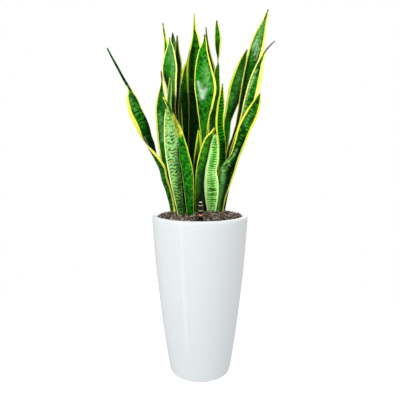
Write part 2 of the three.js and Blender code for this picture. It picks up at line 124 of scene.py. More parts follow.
# Leaf blade, in millimetres: how its section changes from the root (0) to the tip (1)
LEAF_BOTTOM = 482
ROOT_WIDTH = 20
TIP_WIDTH = 2.4
CORE_THICK = (8, 4.2, 2.4)
CHANNEL = (0.42, 0.16, 0.2)
EDGE_THICK = 1
CORE_LIMIT = 0.5
LEAF_MIDDLE = 0.45
TANGENT_STEP = 0.01
HALF_COLUMNS = 12
RING_STEP = 3
FEWEST_RINGS = 3
TIP_POINT = 4
TIP_NARROWEST = 0.1
TIP_CROWD = 1.7
EDGE_ROUND = 0.6

# Waves of a blade's edges: calm by the root and where the blade is narrow
EDGE_WAVE = 0.7
EDGE_WAVE_LENGTH = 55
EDGE_WAVE_WIDTH = 20
EDGE_WAVE_START = (60, 160)
EDGE_WAVE_SHIFT = 2.1
EDGE_WAVE_PHASE = 1.7

# Studio. The front light isn't mirrored in anything.
FLOOR_RADIUS = 2.6
FLOOR_THICK = 0.012
FLOOR_SIDES = 96
FLOOR_FADE = (0.5, 1.15)
FLOOR_GLOW = 0.55
WORLD_LIGHT = 0.66
MIDDLE = (0, 0, 0.75)
LIGHTS = {
    "key": {"at": (-2.3, -2.4, 2.3), "aim": MIDDLE, "size": (2.6, 2.6), "power": 60},
    "fill": {"at": (2.6, -2.0, 1.5), "aim": MIDDLE, "size": (2.0, 2.4), "power": 14},
    "front": {"at": (-0.3, -3.4, 1.3), "aim": MIDDLE, "size": (1.8, 1.8), "power": 24},
    "top": {"at": (0.3, 0.6, 3.2), "aim": MIDDLE, "size": (2.2, 2.2), "power": 26},
    "back": {"at": (0.6, 2.8, 1.9), "aim": MIDDLE, "size": (2.4, 2.0), "power": 22},
    "strip": {"at": (-1.37, -1.46, -0.15), "aim": (0, 0, 0.1), "size": (0.16, 2.6), "power": 2.2},
}

# Leaves, each from the soil to the tip as x, y and z of the rib, width of the blade, and turn, in
# millimetres and degrees. Turn is the heading of the hollow face: 0 faces -Y, 90 faces +X, and 180
# shows its back to -Y. A sixth value says how much deeper the blade is folded than a plain one.
LEAVES = {
    "leaf_far_left": [
        (-99, 55, 540, 27, 130, 1), (-113, 49, 610, 35, 130, 1), (-127, 42, 655, 38, 130, 1.2),
        (-136, 38, 692, 40, 128, 2), (-151, 33, 720, 42, 113, 3.2), (-163, 31, 742, 43, 92, 4.2),
        (-173, 29, 762, 43, 76, 4.4), (-183, 27, 787, 44, 54, 3.6), (-188, 25, 808, 45, 36, 2.2),
        (-197, 21, 840, 48, 15, 1.4), (-216, 15, 885, 47, 15, 1.2), (-227, 10, 928, 35, 20, 1),
        (-233, 6, 955, 13, 30, 1), (-252, 2, 990, 10, 40, 1), (-267, -2, 1019, 9, 40, 1),
        (-282, -6, 1047, 8, 40, 1), (-300, -10, 1083, 5, 40, 1),
    ],
    "leaf_left_rear": [
        (-84, 80, 540, 24, 30), (-112, 75, 670, 40, 25), (-124, 76, 770, 50, 20),
        (-132, 78, 860, 52, 20), (-134.5, 80, 912, 47, 20), (-134.5, 82, 960, 23, 25),
        (-133, 84, 995, 9, 30), (-136, 87, 1034, 5, 30),
    ],
    "leaf_left_pale": [
        (-62, -33, 540, 22, 200), (-71, -37, 610, 32, 195), (-79, -41, 665, 39, 190),
        (-88, -45, 735, 45, 185), (-93, -51, 795, 45, 180), (-101, -56, 855, 25, 175),
        (-105, -59, 890, 3, 170),
    ],
    "leaf_left_front": [
        (-32, -43, 540, 23, 175), (-36, -54, 625, 33, 170), (-40, -61, 680, 37, 165),
        (-49, -68, 730, 37, 155), (-58, -76, 780, 30, 140), (-71, -83, 825, 28, 130),
        (-86, -89, 860, 20, 125), (-102, -94, 893, 11, 125), (-115, -97, 918, 3, 125),
    ],
    "leaf_left_short": [
        (-40, -15, 540, 20, 15), (-56, -18, 640, 24, 20), (-75, -26, 740, 24, 25),
        (-92, -35, 840, 22, 25), (-99, -42, 893, 16, 25), (-96, -47, 940, 14, 25),
        (-94, -50, 965, 9, 20), (-94, -52, 987, 3, 20),
    ],
    "leaf_left_slim": [
        (-60, 98, 540, 24, 20), (-92, 104, 725, 28, 10), (-103, 114, 885, 26, 10),
        (-107, 119, 960, 25, 10), (-115, 124, 1025, 36, 10), (-119, 131, 1110, 22, 12),
        (-124, 134, 1150, 12, 15), (-129, 136, 1183, 8, 15), (-133, 138, 1213, 4, 15),
    ],
    "leaf_left_glossy": [
        (-52, 0, 540, 25, 0), (-64, -9, 675, 30, 5), (-84, -21, 805, 30, 5), (-92, -30, 885, 28, 5),
        (-91, -34, 920, 30, 5), (-91, -37, 950, 33, 2), (-95.5, -40, 985, 45, 0),
        (-95, -44, 1015, 48, -5), (-93, -49, 1060, 29, -10), (-93, -52, 1085, 11, -10),
        (-94, -54, 1102, 3, -10),
    ],
    "leaf_left_tall": [
        (-48, 62, 540, 24, -15), (-72, 58, 705, 40, -10), (-86, 53, 875, 44, 0), (-86, 52, 1000, 42, 0),
        (-88, 50, 1080, 28, 0), (-90, 49, 1120, 16, 0), (-92, 49, 1150, 3, 0),
    ],
    "leaf_left_inner": [
        (-38, 38, 540, 23, 40), (-62, 32, 705, 32, 45), (-84, 25, 875, 32, 50), (-77, 21, 980, 33, 50),
        (-73, 19, 1035, 31, 45), (-75, 17, 1085, 16, 40), (-75, 15, 1130, 5, 40),
    ],
    "leaf_middle_tallest": [
        (-22, 68, 540, 24, 10), (-21, 68, 705, 42, 5), (-15, 71, 900, 51, 0), (-19, 75, 1030, 57, 0),
        (-17, 78, 1085, 48, 0), (-15, 79, 1135, 27, 0), (-18, 81, 1175, 11, 0), (-20, 83, 1225, 4, 0),
    ],
    "leaf_middle_rear": [
        (-32, 98, 540, 24, -10), (-40, 103, 705, 42, -10), (-44, 113, 870, 45, -10),
        (-52, 121, 975, 47, -10), (-46, 125, 1035, 41, -10), (-37, 127, 1075, 25, -10),
        (-30, 129, 1115, 3, -10),
    ],
    "leaf_middle_broad": [
        (14, 50, 540, 24, 50), (11, 28, 705, 34, 60), (11, 16, 790, 40, 60), (10, 5, 855, 53, 50),
        (15, -8, 910, 61, 22), (17, -18, 960, 70, 0), (11, -26, 1010, 55, 0), (10, -36, 1060, 31, 0),
        (15, -42, 1090, 12, 0), (14, -46, 1113, 4, 0),
    ],
    "leaf_middle_behind": [
        (22, 80, 540, 24, 0), (35, 87, 760, 42, 5), (36, 96, 920, 55, 10), (32, 103, 1035, 47, 10),
        (27, 107, 1095, 25, 15), (24, 110, 1140, 11, 15), (21, 114, 1190, 4, 15),
    ],
    "leaf_middle_twisted": [
        (38, 70, 540, 24, 0), (44, 56, 705, 34, 5), (43, 51, 845, 34, 10), (50, 35, 940, 36, 20),
        (54, 30, 1005, 31, 45), (59, 27, 1050, 28, 85), (58, 23, 1090, 26, 130),
        (58, 20, 1120, 24, 150), (55, 17, 1160, 12, 155), (55, 15, 1178, 3, 155),
    ],
    "leaf_middle_low": [
        (-17, 42, 540, 23, 30), (-13, 19, 655, 28, 30), (-11, 4, 715, 27, 30), (-7, -9, 765, 22, 25),
        (-5, -18, 795, 15, 20), (-5, -27, 825, 3, 20),
    ],
    "leaf_middle_front": [
        (-1, 21, 540, 26, 215), (0, 7, 620, 34, 215), (4, -7, 690, 36, 210), (16, -20, 750, 34, 205),
        (27, -29, 790, 24, 200), (39, -33, 810, 12, 200), (49, -38, 830, 3, 200),
    ],
    "leaf_right_pale": [
        (41, 44, 540, 30, 180), (40, 32, 595, 46, 180), (39, 21, 640, 50, 180), (36, 10, 685, 46, 195),
        (43, 0, 725, 40, 185), (47, -10, 765, 29, 180), (49, -19, 795, 14, 180), (48, -23, 812, 3, 180),
    ],
    "leaf_right_narrow": [
        (60, 78, 540, 23, -20), (75, 65, 655, 28, -20), (77, 50, 765, 28, -15), (67, 36, 845, 28, -10),
        (71, 27, 910, 26, 0), (74, 21, 955, 11, 0), (75, 18, 977, 3, 0),
    ],
    "leaf_right_rear": [
        (44, 104, 540, 24, -20), (68, 111, 670, 28, -20), (94, 113, 800, 28, -15),
        (100, 113, 865, 29, -15), (112, 114, 910, 40, -15), (132, 117, 980, 57, -10),
        (143, 120, 1035, 41, -10), (156, 123, 1085, 20, -10), (169, 125, 1117, 4, -10),
    ],
    "leaf_right_tallest": [
        (66, 96, 540, 24, 40), (101, 90, 740, 36, 50), (132, 89, 835, 36, 45), (152, 89, 930, 43, 35),
        (171, 88, 1015, 44, 10), (193, 88, 1100, 50, 0), (208, 89, 1155, 38, 0), (220, 88, 1190, 21, 0),
        (235, 89, 1241, 3, 0),
    ],
    "leaf_right_curled_tip": [
        (80, 80, 540, 22, 50), (114, 50, 740, 38, 35), (150, 30, 850, 41, 20), (170, 15, 935, 42, 5),
        (185, 4, 990, 40, 0), (195, -3, 1030, 25, -10), (204, -9, 1058, 12, -10),
        (211, -12, 1072, 7, -10), (225, -15, 1088, 5, -10), (241, -17, 1103, 3, -10),
    ],
    "leaf_right_front": [
        (71, 55, 540, 25, 190), (76, 46, 590, 32, 190), (85, 33, 640, 46, 188), (94, 23, 685, 54, 185),
        (115, 13, 730, 35, 165), (130, 1, 775, 38, 160), (147, -12, 830, 45, 165),
        (166, -24, 870, 42, 170), (183, -36, 910, 24, 170), (191, -41, 936, 3, 170),
    ],
}

# Greens, yellows and the rest, as linear colours
FRESH = (0.016, 0.250, 0.002)
LEAF = (0.020, 0.190, 0.004)
DEEP = (0.004, 0.085, 0.002)
SAGE = (0.085, 0.250, 0.045)
MINT = (0.330, 0.660, 0.195)
LIME = (0.250, 0.520, 0.040)
BAND = (0.001, 0.035, 0.001)
# Painted sheen and painted highlight for the blades
SHEEN = (0.150, 0.450, 0.100)
GLINT = (0.740, 0.930, 0.760)
LEMON = (1.000, 1.000, 0.100)
CREAM = (1.000, 1.000, 0.260)
GOLD = (0.520, 0.530, 0.045)
TIP_COLOUR = (0.035, 0.045, 0.010)
TIP_DRY = (0.140, 0.120, 0.090)

# What the strokes on a blade mix in, and how much the shading ones, which are painted shade, take away
# from the green and from the yellow edge. "pale" mixes in a painted sheen; "fresh" is partly painted
# light and "deep" partly painted shade.
PAINTS = {"fresh": FRESH, "deep": DEEP, "mint": MINT, "lime": LIME, "gold": GOLD, "pale": SHEEN,
          "lemon": LEMON}
SHADES = {"dark": (0.96, 0.45), "shade": (0.93, 0.9)}

# Paints under which the bands fade, and how far
FADING = ("pale", "gold", "lime", "mint", "lemon")
FADED = 0.55

# Strokes, which paint much of the blades' light and shade, are weaker on the side of a blade that is
# turned away from -Y
SHADED_SIDE = 0.35
FACING = (-0.3, 0.2)

# How each leaf is marked. Lengths and heights are in millimetres.
# ground, band: colours between the edges. bands: strength of the cross-bands. rows: how regular they
# are. period: their spacing. sparse: how broken they are. gloss: how strongly the blade shines.
# edges: width of the yellow edge at some heights, on the side away from and towards "across".
# fine: how closely the uneven bands change across. wobble: how far they stray. zigzag: its depth.
# glow: emission, painted light that stands in for light coming through the blade. tip: length of the dry tip
# and its colour.
# strokes: stretches of the blade in another tone. Each has a kind, the height and the place across of
# its two ends, a radius, or one along and one across, and a strength. Place across is -1 at one edge,
# 0 at the rib and 1 at the other. A "dense" stroke has more and stronger bands. A "glint" is a painted
# highlight, a "pale" stroke a painted sheen, and "dark" and "shade" strokes are painted shade. A "fresh"
# stroke is a brighter green, partly the leaf's own and partly painted light; a "deep" one is a darker
# green, partly the leaf's pattern and partly painted shade. The others are tones of the leaf and its
# edge, apart from a few mint strokes that are painted highlights, as marked.
PLAIN = {"ground": LEAF, "band": BAND, "bands": 0.85, "rows": 0.25, "period": 11, "sparse": 0.46,
         "fine": 0.085, "wobble": 5.0, "zigzag": 6.0, "edge": LEMON, "gloss": 0.04, "glow": 0.0,
         "tip": 9, "tip_colour": TIP_COLOUR, "strokes": []}
LOOKS = {
    "leaf_far_left": {
        "band": (0.001, 0.030, 0.001), "bands": 1.0, "edge": (1.0, 1.0, 0.14), "tip": 4,
        "edges": [(540, 4, 1), (640, 4.5, 1), (700, 5, 1), (745, 7, 1), (780, 11, 1), (850, 14, 1),
                  (900, 11, 2), (940, 6, 3), (962, 2, 1), (975, -3, -3)],
        "strokes": [("pale", (935, -0.1), (880, -0.1), 9, 0.45), ("fresh", (880, 0.1), (815, 0), 14, 1.0),
                    ("shade", (850, 0.95), (740, 0.45), 15, 0.98), ("deep", (820, 0.0), (770, 0.1), 14, 0.6),
                    ("glint", (800, -0.12), (775, 0.0), 2.5, 0.7),
                    ("shade", (690, -0.9), (560, -0.9), 8, 0.5),
                    ("deep", (1075, 0.6), (975, 0.6), 4, 0.9)],
    },
    "leaf_left_rear": {
        "ground": (0.026, 0.185, 0.018), "band": DEEP, "edge": (1.0, 1.0, 0.20), "tip": 42,
        "tip_colour": (0.10, 0.09, 0.05), "glow": 0.22,
        "edges": [(540, 5, 4), (750, 6, 4), (860, 7, 5), (920, 6, 6), (960, 3, 5), (990, 1.5, 4),
                  (1005, 1, 1)],
        "strokes": [("pale", (885, -0.3), (790, -0.3), 7, 0.9), ("fresh", (800, 0.1), (740, 0.1), 12, 0.5),
                    ("shade", (700, 0), (560, 0), 20, 0.45)],
    },
    "leaf_left_pale": {
        "ground": MINT, "band": (0.000, 0.020, 0.000), "bands": 1.0, "rows": 0.8, "period": 10.5,
        "fine": 0.10, "wobble": 1.5, "sparse": 0.53, "edge": (0.80, 1.0, 0.30), "gloss": 0.08,
        "edges": [(540, -3, 1), (620, -3, 2), (700, -3, 3.5), (820, -3, 4), (860, -3, 3), (888, -3, 1)],
        "strokes": [("lime", (890, 0), (845, 0), 16, 0.55), ("deep", (762, -1.0), (640, -0.75), 10, 0.97),
                    ("dense", (740, -0.4), (570, -0.2), 17, 1.0),
                    ("deep", (720, -0.7), (610, -0.3), 12, 0.85),
                    ("deep", (606, 0), (540, 0), 26, 0.97), ("lime", (690, 0.5), (600, 0.4), 9, 0.4)],
    },
    "leaf_left_front": {
        "ground": (0.010, 0.260, 0.001), "band": (0.001, 0.060, 0.001), "bands": 1.0, "rows": 0.3,
        "sparse": 0.48, "edge": (0.62, 0.90, 0.04), "gloss": 0.10,
        "edges": [(540, 1, 1), (620, 1, 1), (690, 1.7, 1), (770, 3, 1), (800, 2, -2), (830, -2, -2),
                  (915, -2, -2)],
        "strokes": [("gold", (852, -0.55), (806, -0.5), 10, 1.4), ("lemon", (912, 0.3), (872, 0.6), 4, 1.3),
                    ("lemon", (866, 0.8), (798, 0.85), 4.2, 1.4),
                    ("deep", (905, -0.8), (862, -0.6), 4.5, 1.2),
                    ("lemon", (840, -0.75), (806, -0.7), 2.2, 0.8),
                    ("lime", (760, -0.85), (600, -0.8), 5, 0.35),
                    ("dark", (615, 0.1), (545, 0.1), 24, 0.45),
                    ("deep", (745, 0.95), (560, 0.95), 5, 0.7)],
    },
    "leaf_left_short": {
        "ground": (0.030, 0.200, 0.012), "band": DEEP, "bands": 0.6, "edge": (0.52, 0.70, 0.14),
        "edges": [(540, 1, 1.5), (840, 1, 2), (900, 2.5, 3), (940, 2.5, 3), (965, 2, 2)],
        "strokes": [("dark", (860, 0), (560, 0), 20, 0.95), ("shade", (800, 0), (560, 0), 24, 0.9),
                    ("pale", (960, 0.3), (900, 0.4), 3, 0.5)],
    },
    "leaf_left_slim": {
        "band": DEEP, "edge": (0.72, 0.88, 0.06), "tip": 14,
        "edges": [(540, 3, 4), (960, 4, 10), (1060, 4, 16), (1085, 3, 14), (1110, 3, 7), (1150, 3, 5),
                  (1183, 1, 2), (1213, 0.5, 1)],
        "strokes": [("shade", (900, 0), (560, 0), 30, 0.8)],
    },
    "leaf_left_glossy": {
        "ground": (0.022, 0.240, 0.005), "band": DEEP, "bands": 0.55, "rows": 0.1, "edge": CREAM,
        "gloss": 0.10,
        "edges": [(540, 1, 2), (800, 2, 3), (880, 3, 3.5), (920, 4, 4), (960, 4, 5), (1010, 3.5, 5),
                  (1050, 3, 4.5), (1085, 2, 2)],
        "strokes": [("pale", (1085, 0), (1035, 0.15), 11, 0.55), ("pale", (1040, 0.45), (975, 0.45), 7, 0.7),
                    ("fresh", (1000, 0.0), (975, 0.0), 7, 0.9), ("dark", (990, -0.62), (925, -0.4), 9, 1.0),
                    ("pale", (965, 0.35), (930, 0.3), 5, 0.4), ("dark", (920, -0.1), (560, 0), 17, 0.96),
                    ("shade", (918, 0.95), (600, 0.9), 13, 1.0)],
    },
    "leaf_left_tall": {
        "ground": (0.060, 0.220, 0.050), "band": (0.010, 0.070, 0.010), "bands": 0.5, "edge": SAGE,
        "edges": [(540, 2, 2), (1000, 2, 2), (1130, 1, 1)],
        "strokes": [("pale", (1120, 0.3), (1040, 0.4), 6, 0.4), ("dark", (1140, -0.6), (1070, -0.7), 8, 0.9),
                    ("dark", (990, 0), (560, 0), 34, 0.97), ("shade", (960, 0), (560, 0), 34, 0.9)],
    },
    "leaf_left_inner": {
        "ground": (0.030, 0.080, 0.008), "edge": (0.52, 0.60, 0.06), "tip": 38,
        "tip_colour": (0.16, 0.15, 0.02),
        "edges": [(540, 2, 3), (900, 2, 3), (1030, 2, 4), (1085, 2, 4), (1130, 1, 2)],
        "strokes": [("dark", (1095, -0.2), (900, -0.1), 14, 0.9), ("shade", (930, 0), (560, 0), 22, 0.92)],
    },
    "leaf_middle_tallest": {
        "ground": (0.016, 0.160, 0.004), "bands": 0.8, "edge": (0.85, 0.95, 0.07), "tip": 3,
        "edges": [(540, 3, 3), (850, 3, 4), (960, 5, 4), (1030, 7, 5), (1090, 6, 5), (1140, 3, 5),
                  (1180, 1, 5), (1225, 1, 2)],
        "strokes": [("dark", (1105, -0.4), (1010, -0.3), 8, 0.95), ("dark", (970, -0.1), (560, 0), 32, 0.92),
                    ("shade", (1090, -1.0), (950, -1.0), 8, 0.62),
                    ("shade", (950, -1.0), (560, -0.9), 14, 0.97),
                    ("fresh", (1130, 0.1), (1080, 0.15), 8, 0.3),
                    ("pale", (1075, 0.35), (1030, 0.3), 6, 0.22),
                    ("shade", (960, 0.95), (860, 0.9), 9, 0.6),
                    ("glint", (838, 0.85), (800, 0.85), 2.5, 0.85),
                    ("shade", (780, 0.9), (560, 0.9), 12, 0.9)],
    },
    "leaf_middle_rear": {
        "ground": (0.016, 0.160, 0.006), "bands": 0.8, "rows": 0.5, "period": 8.5, "edge": (1.0, 1.0, 0.08),
        "edges": [(540, 3, 2), (900, 4, 2), (1020, 8, 2), (1075, 5, 2), (1110, 2, 1)],
        "strokes": [("dark", (1010, 0.6), (980, 0.5), 9, 0.7), ("dark", (950, 0.1), (560, 0), 33, 0.9),
                    ("shade", (930, -0.95), (820, -0.95), 9, 0.5),
                    ("shade", (820, -0.9), (560, -0.9), 16, 0.9)],
    },
    "leaf_middle_broad": {
        "ground": (0.012, 0.285, 0.001), "band": (0.001, 0.055, 0.001), "bands": 1.0, "rows": 0.15,
        "period": 8.5, "fine": 0.115, "sparse": 0.50, "edge": (1.0, 1.0, 0.13), "gloss": 0.10, "tip": 12,
        "edges": [(540, 3, 3), (790, 3.5, 3), (855, 3.5, 5), (910, 3, 7), (960, 2.7, 7), (1010, 2.7, 5),
                  (1060, 2.5, 4), (1100, 1, 2)],
        "strokes": [("pale", (1010, 0.3), (960, 0.15), 12, 0.95),
                    ("pale", (965, -0.3), (938, -0.2), 10, 0.9),
                    ("glint", (975, -0.64), (926, -0.35), 4.5, 0.72),
                    ("glint", (952, 0.06), (926, -0.24), 5, 0.6),
                    ("glint", (944, -0.30), (926, -0.30), 7, 0.9),
                    ("pale", (950, -0.3), (940, -0.28), 9, 1.0),
                    ("pale", (1050, 0.25), (1015, 0.3), 6, 0.35),
                    ("dense", (935, -0.8), (860, -0.5), 12, 0.6), ("fresh", (915, 0.1), (820, 0), 24, 1.0),
                    ("dark", (700, 0), (560, 0), 30, 0.97), ("shade", (700, 0), (560, 0), 40, 0.97)],
    },
    "leaf_middle_behind": {
        "ground": (0.020, 0.110, 0.012), "edge": (0.72, 0.80, 0.12), "tip": 24,
        "tip_colour": (0.10, 0.11, 0.04),
        "edges": [(540, 3, 3), (920, 3, 5), (1035, 3, 5), (1095, 3, 4), (1140, 1, 2)],
        "strokes": [("dark", (1150, -0.1), (600, 0), 30, 0.9), ("pale", (1075, 0.45), (1045, 0.5), 3, 0.5)],
    },
    "leaf_middle_twisted": {
        "ground": (0.030, 0.200, 0.010), "band": DEEP, "bands": 0.9, "rows": 0.2, "edge": (0.80, 0.86, 0.10),
        "edges": [(540, 3, 2), (845, 5, 4), (940, 5, 3), (1050, 3, 2), (1100, 4, 3), (1150, 2, 2),
                  (1178, 1, 1)],
        "strokes": [("dark", (1105, 0), (1062, 0), 9, 0.85), ("fresh", (1150, 0), (1125, 0), 7, 0.5),
                    ("dark", (880, 0.2), (820, 0.2), 14, 0.6), ("dark", (800, 0), (560, 0), 30, 0.95),
                    ("shade", (790, -0.9), (560, -0.9), 12, 0.6)],
    },
    "leaf_middle_low": {
        "ground": (0.060, 0.260, 0.020), "band": DEEP, "bands": 0.4, "edge": (0.75, 0.95, 0.05),
        "edges": [(540, 1, 1), (680, 2, 2), (715, 3, 3), (765, 5, 5), (795, 5, 5), (825, 2, 2)],
        "strokes": [("dark", (735, 0), (560, 0), 11, 0.92), ("shade", (700, 0), (560, 0), 34, 0.97)],
    },
    "leaf_middle_front": {
        "ground": (0.050, 0.330, 0.004), "band": (0.004, 0.085, 0.001), "bands": 0.85, "rows": 0.1,
        "sparse": 0.49, "gloss": 0.10,
        "edges": [(540, -3, 0.4), (620, -3, 1.0), (690, -3, 2.2), (750, 0.5, 3.6), (810, 1, 4.5),
                  (830, 1, 2)],
        "strokes": [("dark", (800, -0.75), (700, -0.75), 7, 0.98),
                    ("dark", (700, -0.75), (560, -0.3), 14, 0.99),
                    ("shade", (690, -0.9), (560, -0.6), 12, 0.97),
                    ("dark", (600, 0), (550, 0), 16, 0.9),
                    ("shade", (660, 0.9), (560, 0.9), 5, 0.5), ("deep", (660, 0), (560, 0), 16, 0.6)],
    },
    "leaf_right_pale": {
        "ground": (0.400, 0.900, 0.200), "band": (0.002, 0.050, 0.001), "bands": 0.85, "rows": 1.0,
        "period": 8, "wobble": 1.0, "zigzag": 1.5, "sparse": 0.44, "edge": (0.66, 1.0, 0.36), "gloss": 0.08,
        "glow": 0.26,
        "edges": [(540, 4, 4), (600, 5, 6), (625, 6, 10), (690, 6, 12), (740, 5, 8), (790, 2, 3),
                  (812, 1, 1)],
        "strokes": [("dense", (760, 0), (690, 0.1), 8, 0.8), ("fresh", (790, -0.2), (700, 0.0), 8, 0.85),
                    ("deep", (624, 0.1), (621, -0.3), (3.6, 13), 1.2),
                    ("deep", (607, 0.1), (604, -0.2), (3.2, 12), 1.1),
                    ("deep", (690, 0.05), (640, -0.1), 6, 0.45),
                    ("fresh", (650, -0.1), (570, -0.1), 9, 0.6), ("lime", (600, -0.95), (550, -0.9), 5, 0.6),
                    ("deep", (560, 0), (540, 0), 12, 0.5), ("deep", (588, 0), (586, -0.3), (3, 11), 0.7)],
    },
    "leaf_right_narrow": {
        "ground": (0.016, 0.300, 0.002), "bands": 1.0, "rows": 0.9, "sparse": 0.40, "edge": (1.0, 1.0, 0.07),
        "band": (0.000, 0.012, 0.000),
        "edges": [(540, 2, 1), (680, 3, 1), (740, 4, 1), (800, 5.5, 1), (880, 6.5, 3), (930, 5, 4),
                  (965, 2, 2)],
        "strokes": [("dark", (870, 0.1), (846, 0.1), 10, 0.5), ("dark", (780, 0.5), (560, 0.2), 13, 0.9)],
    },
    "leaf_right_rear": {
        "ground": (0.028, 0.180, 0.014), "band": DEEP, "bands": 0.8, "rows": 0.15, "edge": (0.90, 1.0, 0.08),
        "edges": [(540, 3, 2), (780, 3, 3), (840, 4, 2), (865, 5, 2), (910, 7, 2), (980, 8, 2),
                  (1035, 7, 2), (1085, 4, 1), (1117, 1, 1)],
        "strokes": [("dark", (1105, 0.3), (1050, 0.4), 8, 0.55), ("pale", (1030, 0.0), (985, -0.1), 9, 0.3),
                    ("dark", (1000, 0.85), (880, 0.6), 12, 1.0), ("pale", (955, -0.45), (925, -0.4), 8, 0.6),
                    ("fresh", (925, -0.3), (780, 0.0), 9, 0.9), ("mint", (830, 0.95), (740, 0.95), 4, 0.6),
                    ("dark", (790, -0.3), (560, -0.2), 12, 0.95), ("shade", (720, 0), (560, 0), 22, 0.7)],
    },
    "leaf_right_tallest": {
        "ground": (0.018, 0.170, 0.005), "band": (0.001, 0.045, 0.001), "bands": 0.95, "rows": 0.1,
        "edge": (1.0, 1.0, 0.12), "tip": 12, "sparse": 0.49, "period": 7.5, "fine": 0.16,
        "edges": [(540, 1, 1), (800, 2, 2), (930, 4, 2), (1015, 4, 7), (1060, 5, 8), (1100, 5, 8),
                  (1155, 4, 7), (1190, 3, 5), (1230, 1, 2)],
        "strokes": [("pale", (1190, -0.1), (1115, -0.1), 16, 0.95),
                    ("glint", (1135, -0.35), (1105, -0.45), 4, 0.4),
                    ("glint", (1125, 0.05), (1085, 0.0), 2.2, 0.45),
                    ("glint", (1110, 0.4), (1075, 0.35), 2.2, 0.4),
                    ("deep", (1065, 0.2), (1050, 0.2), 13, 0.35),
                    ("dark", (1175, 0.7), (1120, 0.68), 4, 0.6),
                    ("pale", (1110, -0.2), (1070, -0.1), 10, 0.45),
                    ("dense", (1080, 0.2), (1000, 0.2), 18, 0.9),
                    ("fresh", (1050, 0.3), (1000, 0.3), 10, 0.8),
                    ("dark", (1070, -0.85), (980, -0.5), 9, 0.98), ("fresh", (1235, 0), (1205, 0), 9, 0.6),
                    ("dark", (960, 0), (560, 0), 34, 0.97)],
    },
    "leaf_right_curled_tip": {
        "ground": FRESH, "band": (0.002, 0.055, 0.001), "bands": 0.95, "rows": 0.1, "gloss": 0.10,
        "edge": (1.0, 1.0, 0.24), "tip": 62, "tip_colour": TIP_DRY,
        "edges": [(540, 2, 2), (740, 3, 2), (820, 4, 3), (880, 5, 5), (930, 5, 10), (990, 4, 14),
                  (1030, 4, 10), (1056, 3, 4), (1075, 1, 1), (1103, 0, 0)],
        # Mint strips inside the edge: painted highlight
        "strokes": [("mint", (1015, -0.45), (925, -0.6), 3.6, 1.0),
                    ("mint", (920, -0.5), (860, -0.5), 4, 0.7),
                    ("gold", (960, -0.95), (940, -0.95), 4, 0.9), ("dark", (850, 0.2), (560, 0.2), 20, 0.85),
                    ("shade", (760, 0), (560, 0), 26, 0.7)],
    },
    "leaf_right_front": {
        "ground": (0.040, 0.250, 0.010), "bands": 0.95, "rows": 0.5, "edge": (0.95, 1.0, 0.07), "tip": 5,
        "edges": [(540, 4.5, 0), (640, 6, 0), (690, 6, 0), (725, 5, 1), (745, 6, 4), (800, 6, 6),
                  (860, 6, 7), (905, 5, 5), (934, 2, 2)],
        "strokes": [("dark", (935, 0.4), (900, 0.5), 9, 0.8), ("dark", (800, -0.45), (700, -0.35), 9, 0.97),
                    ("dark", (700, -0.3), (560, -0.35), 12, 0.98),
                    # A mint line along the fold: painted highlight
                    ("mint", (697, 0.9), (757, -0.1), 3.2, 1.2), ("pale", (865, 0.15), (838, 0.25), 6, 0.5),
                    ("fresh", (820, 0.3), (740, 0.35), 9, 0.45), ("mint", (690, 0.5), (655, 0.45), 9, 0.75),
                    ("pale", (665, 0.35), (560, 0.35), 11, 1.0), ("dense", (670, 0.3), (560, 0.3), 14, 0.9),
                    ("deep", (676, 0.5), (672, 0.2), (2.6, 12), 1.0),
                    ("mint", (705, 0.2), (690, 0.5), 4, 0.7), ("lime", (625, 0.85), (560, 0.85), 6, 0.9)],
    },
}

# Noise over the blades: cycles a millimetre across and along, layer, detail and roughness
GRAINS = {
    "drift": (0.022, 0.02, 0, 2.0, 0.55),
    "wobble": (0.14, 0.06, 2, 2.0, 0.55),
    "zone": (0.03, 0.018, 8, 2.0, 0.55),
    "streaks": (0.40, 0.02, 10, 3.0, 0.6),
    "speckles": (0.16, 0.15, 12, 3.0, 0.6),
    "flecks": (0.14, 0.20, 14, 3.0, 0.65),
    "waver": (0.05, 0.11, 16, 3.0, 0.6),
    "threads": (1.1, 0.008, 18, 2.0, 0.55),
    "blush": (0.08, 0.035, 20, 2.0, 0.55),
    "gloss": (0.12, 0.05, 22, 3.0, 0.6),
    "ribs": (1.4, 0.02, 24, 2.0, 0.55),
    "dents": (0.10, 0.06, 26, 2.0, 0.55),
}

# How far the noise of one leaf lies from the next leaf's
LEAF_TO_LEAF = 7.3

# The cross-bands: how far they drift, in millimetres, and the noise that they are made of
BAND_DRIFT = 12.0
BAND_DETAIL = 1.5
SPOT_LAYER = 4
GAP_LAYER = 6
GAP_ACROSS = 0.10
GAP_ALONG = 0.9
ZIGZAG_WIDTH = 9.0
ZIGZAG_START = 100.0

# How far a "dense" stroke lowers the noise level from which the bands show, and how much it
# brightens the blade between them
DENSER = 0.12
DENSE_LIGHT = 1.3

# How far the line between the green and the yellow edge wavers, in millimetres
EDGE_WAVER = 3.0
EDGE_SOFT = (-0.5, 0.6)


# Mesh helpers
def piece(name, points, faces, smooth=True):
    mesh = bpy.data.meshes.new(name)
    mesh.from_pydata(points, [], faces)
    mesh.polygons.foreach_set("use_smooth", [smooth] * len(mesh.polygons))
    mesh.update()
    return placed(name, mesh)


def placed(name, data):
    made = bpy.data.objects.new(name, data)
    bpy.context.scene.collection.objects.link(made)
    return made


def note(made, name, values):
    attribute = made.data.attributes.new(name, "FLOAT", "POINT")
    attribute.data.foreach_set("value", values)


def arc(radius, height, size, start, end, steps):
    points = []
    for i in range(steps + 1):
        angle = math.radians(start + (end - start) * i / steps)
        points.append((radius + size * math.cos(angle), height + size * math.sin(angle)))
    return points


# Faces between neighbouring rings of points, and from the last to the first if closed
def ring_faces(count, size, closed=False):
    faces = []
    for i in range(count if closed else count - 1):
        low = i * size
        high = (i + 1) % count * size
        for k in range(size):
            n = (k + 1) % size
            faces.append((low + k, low + n, high + n, high + k))
    return faces


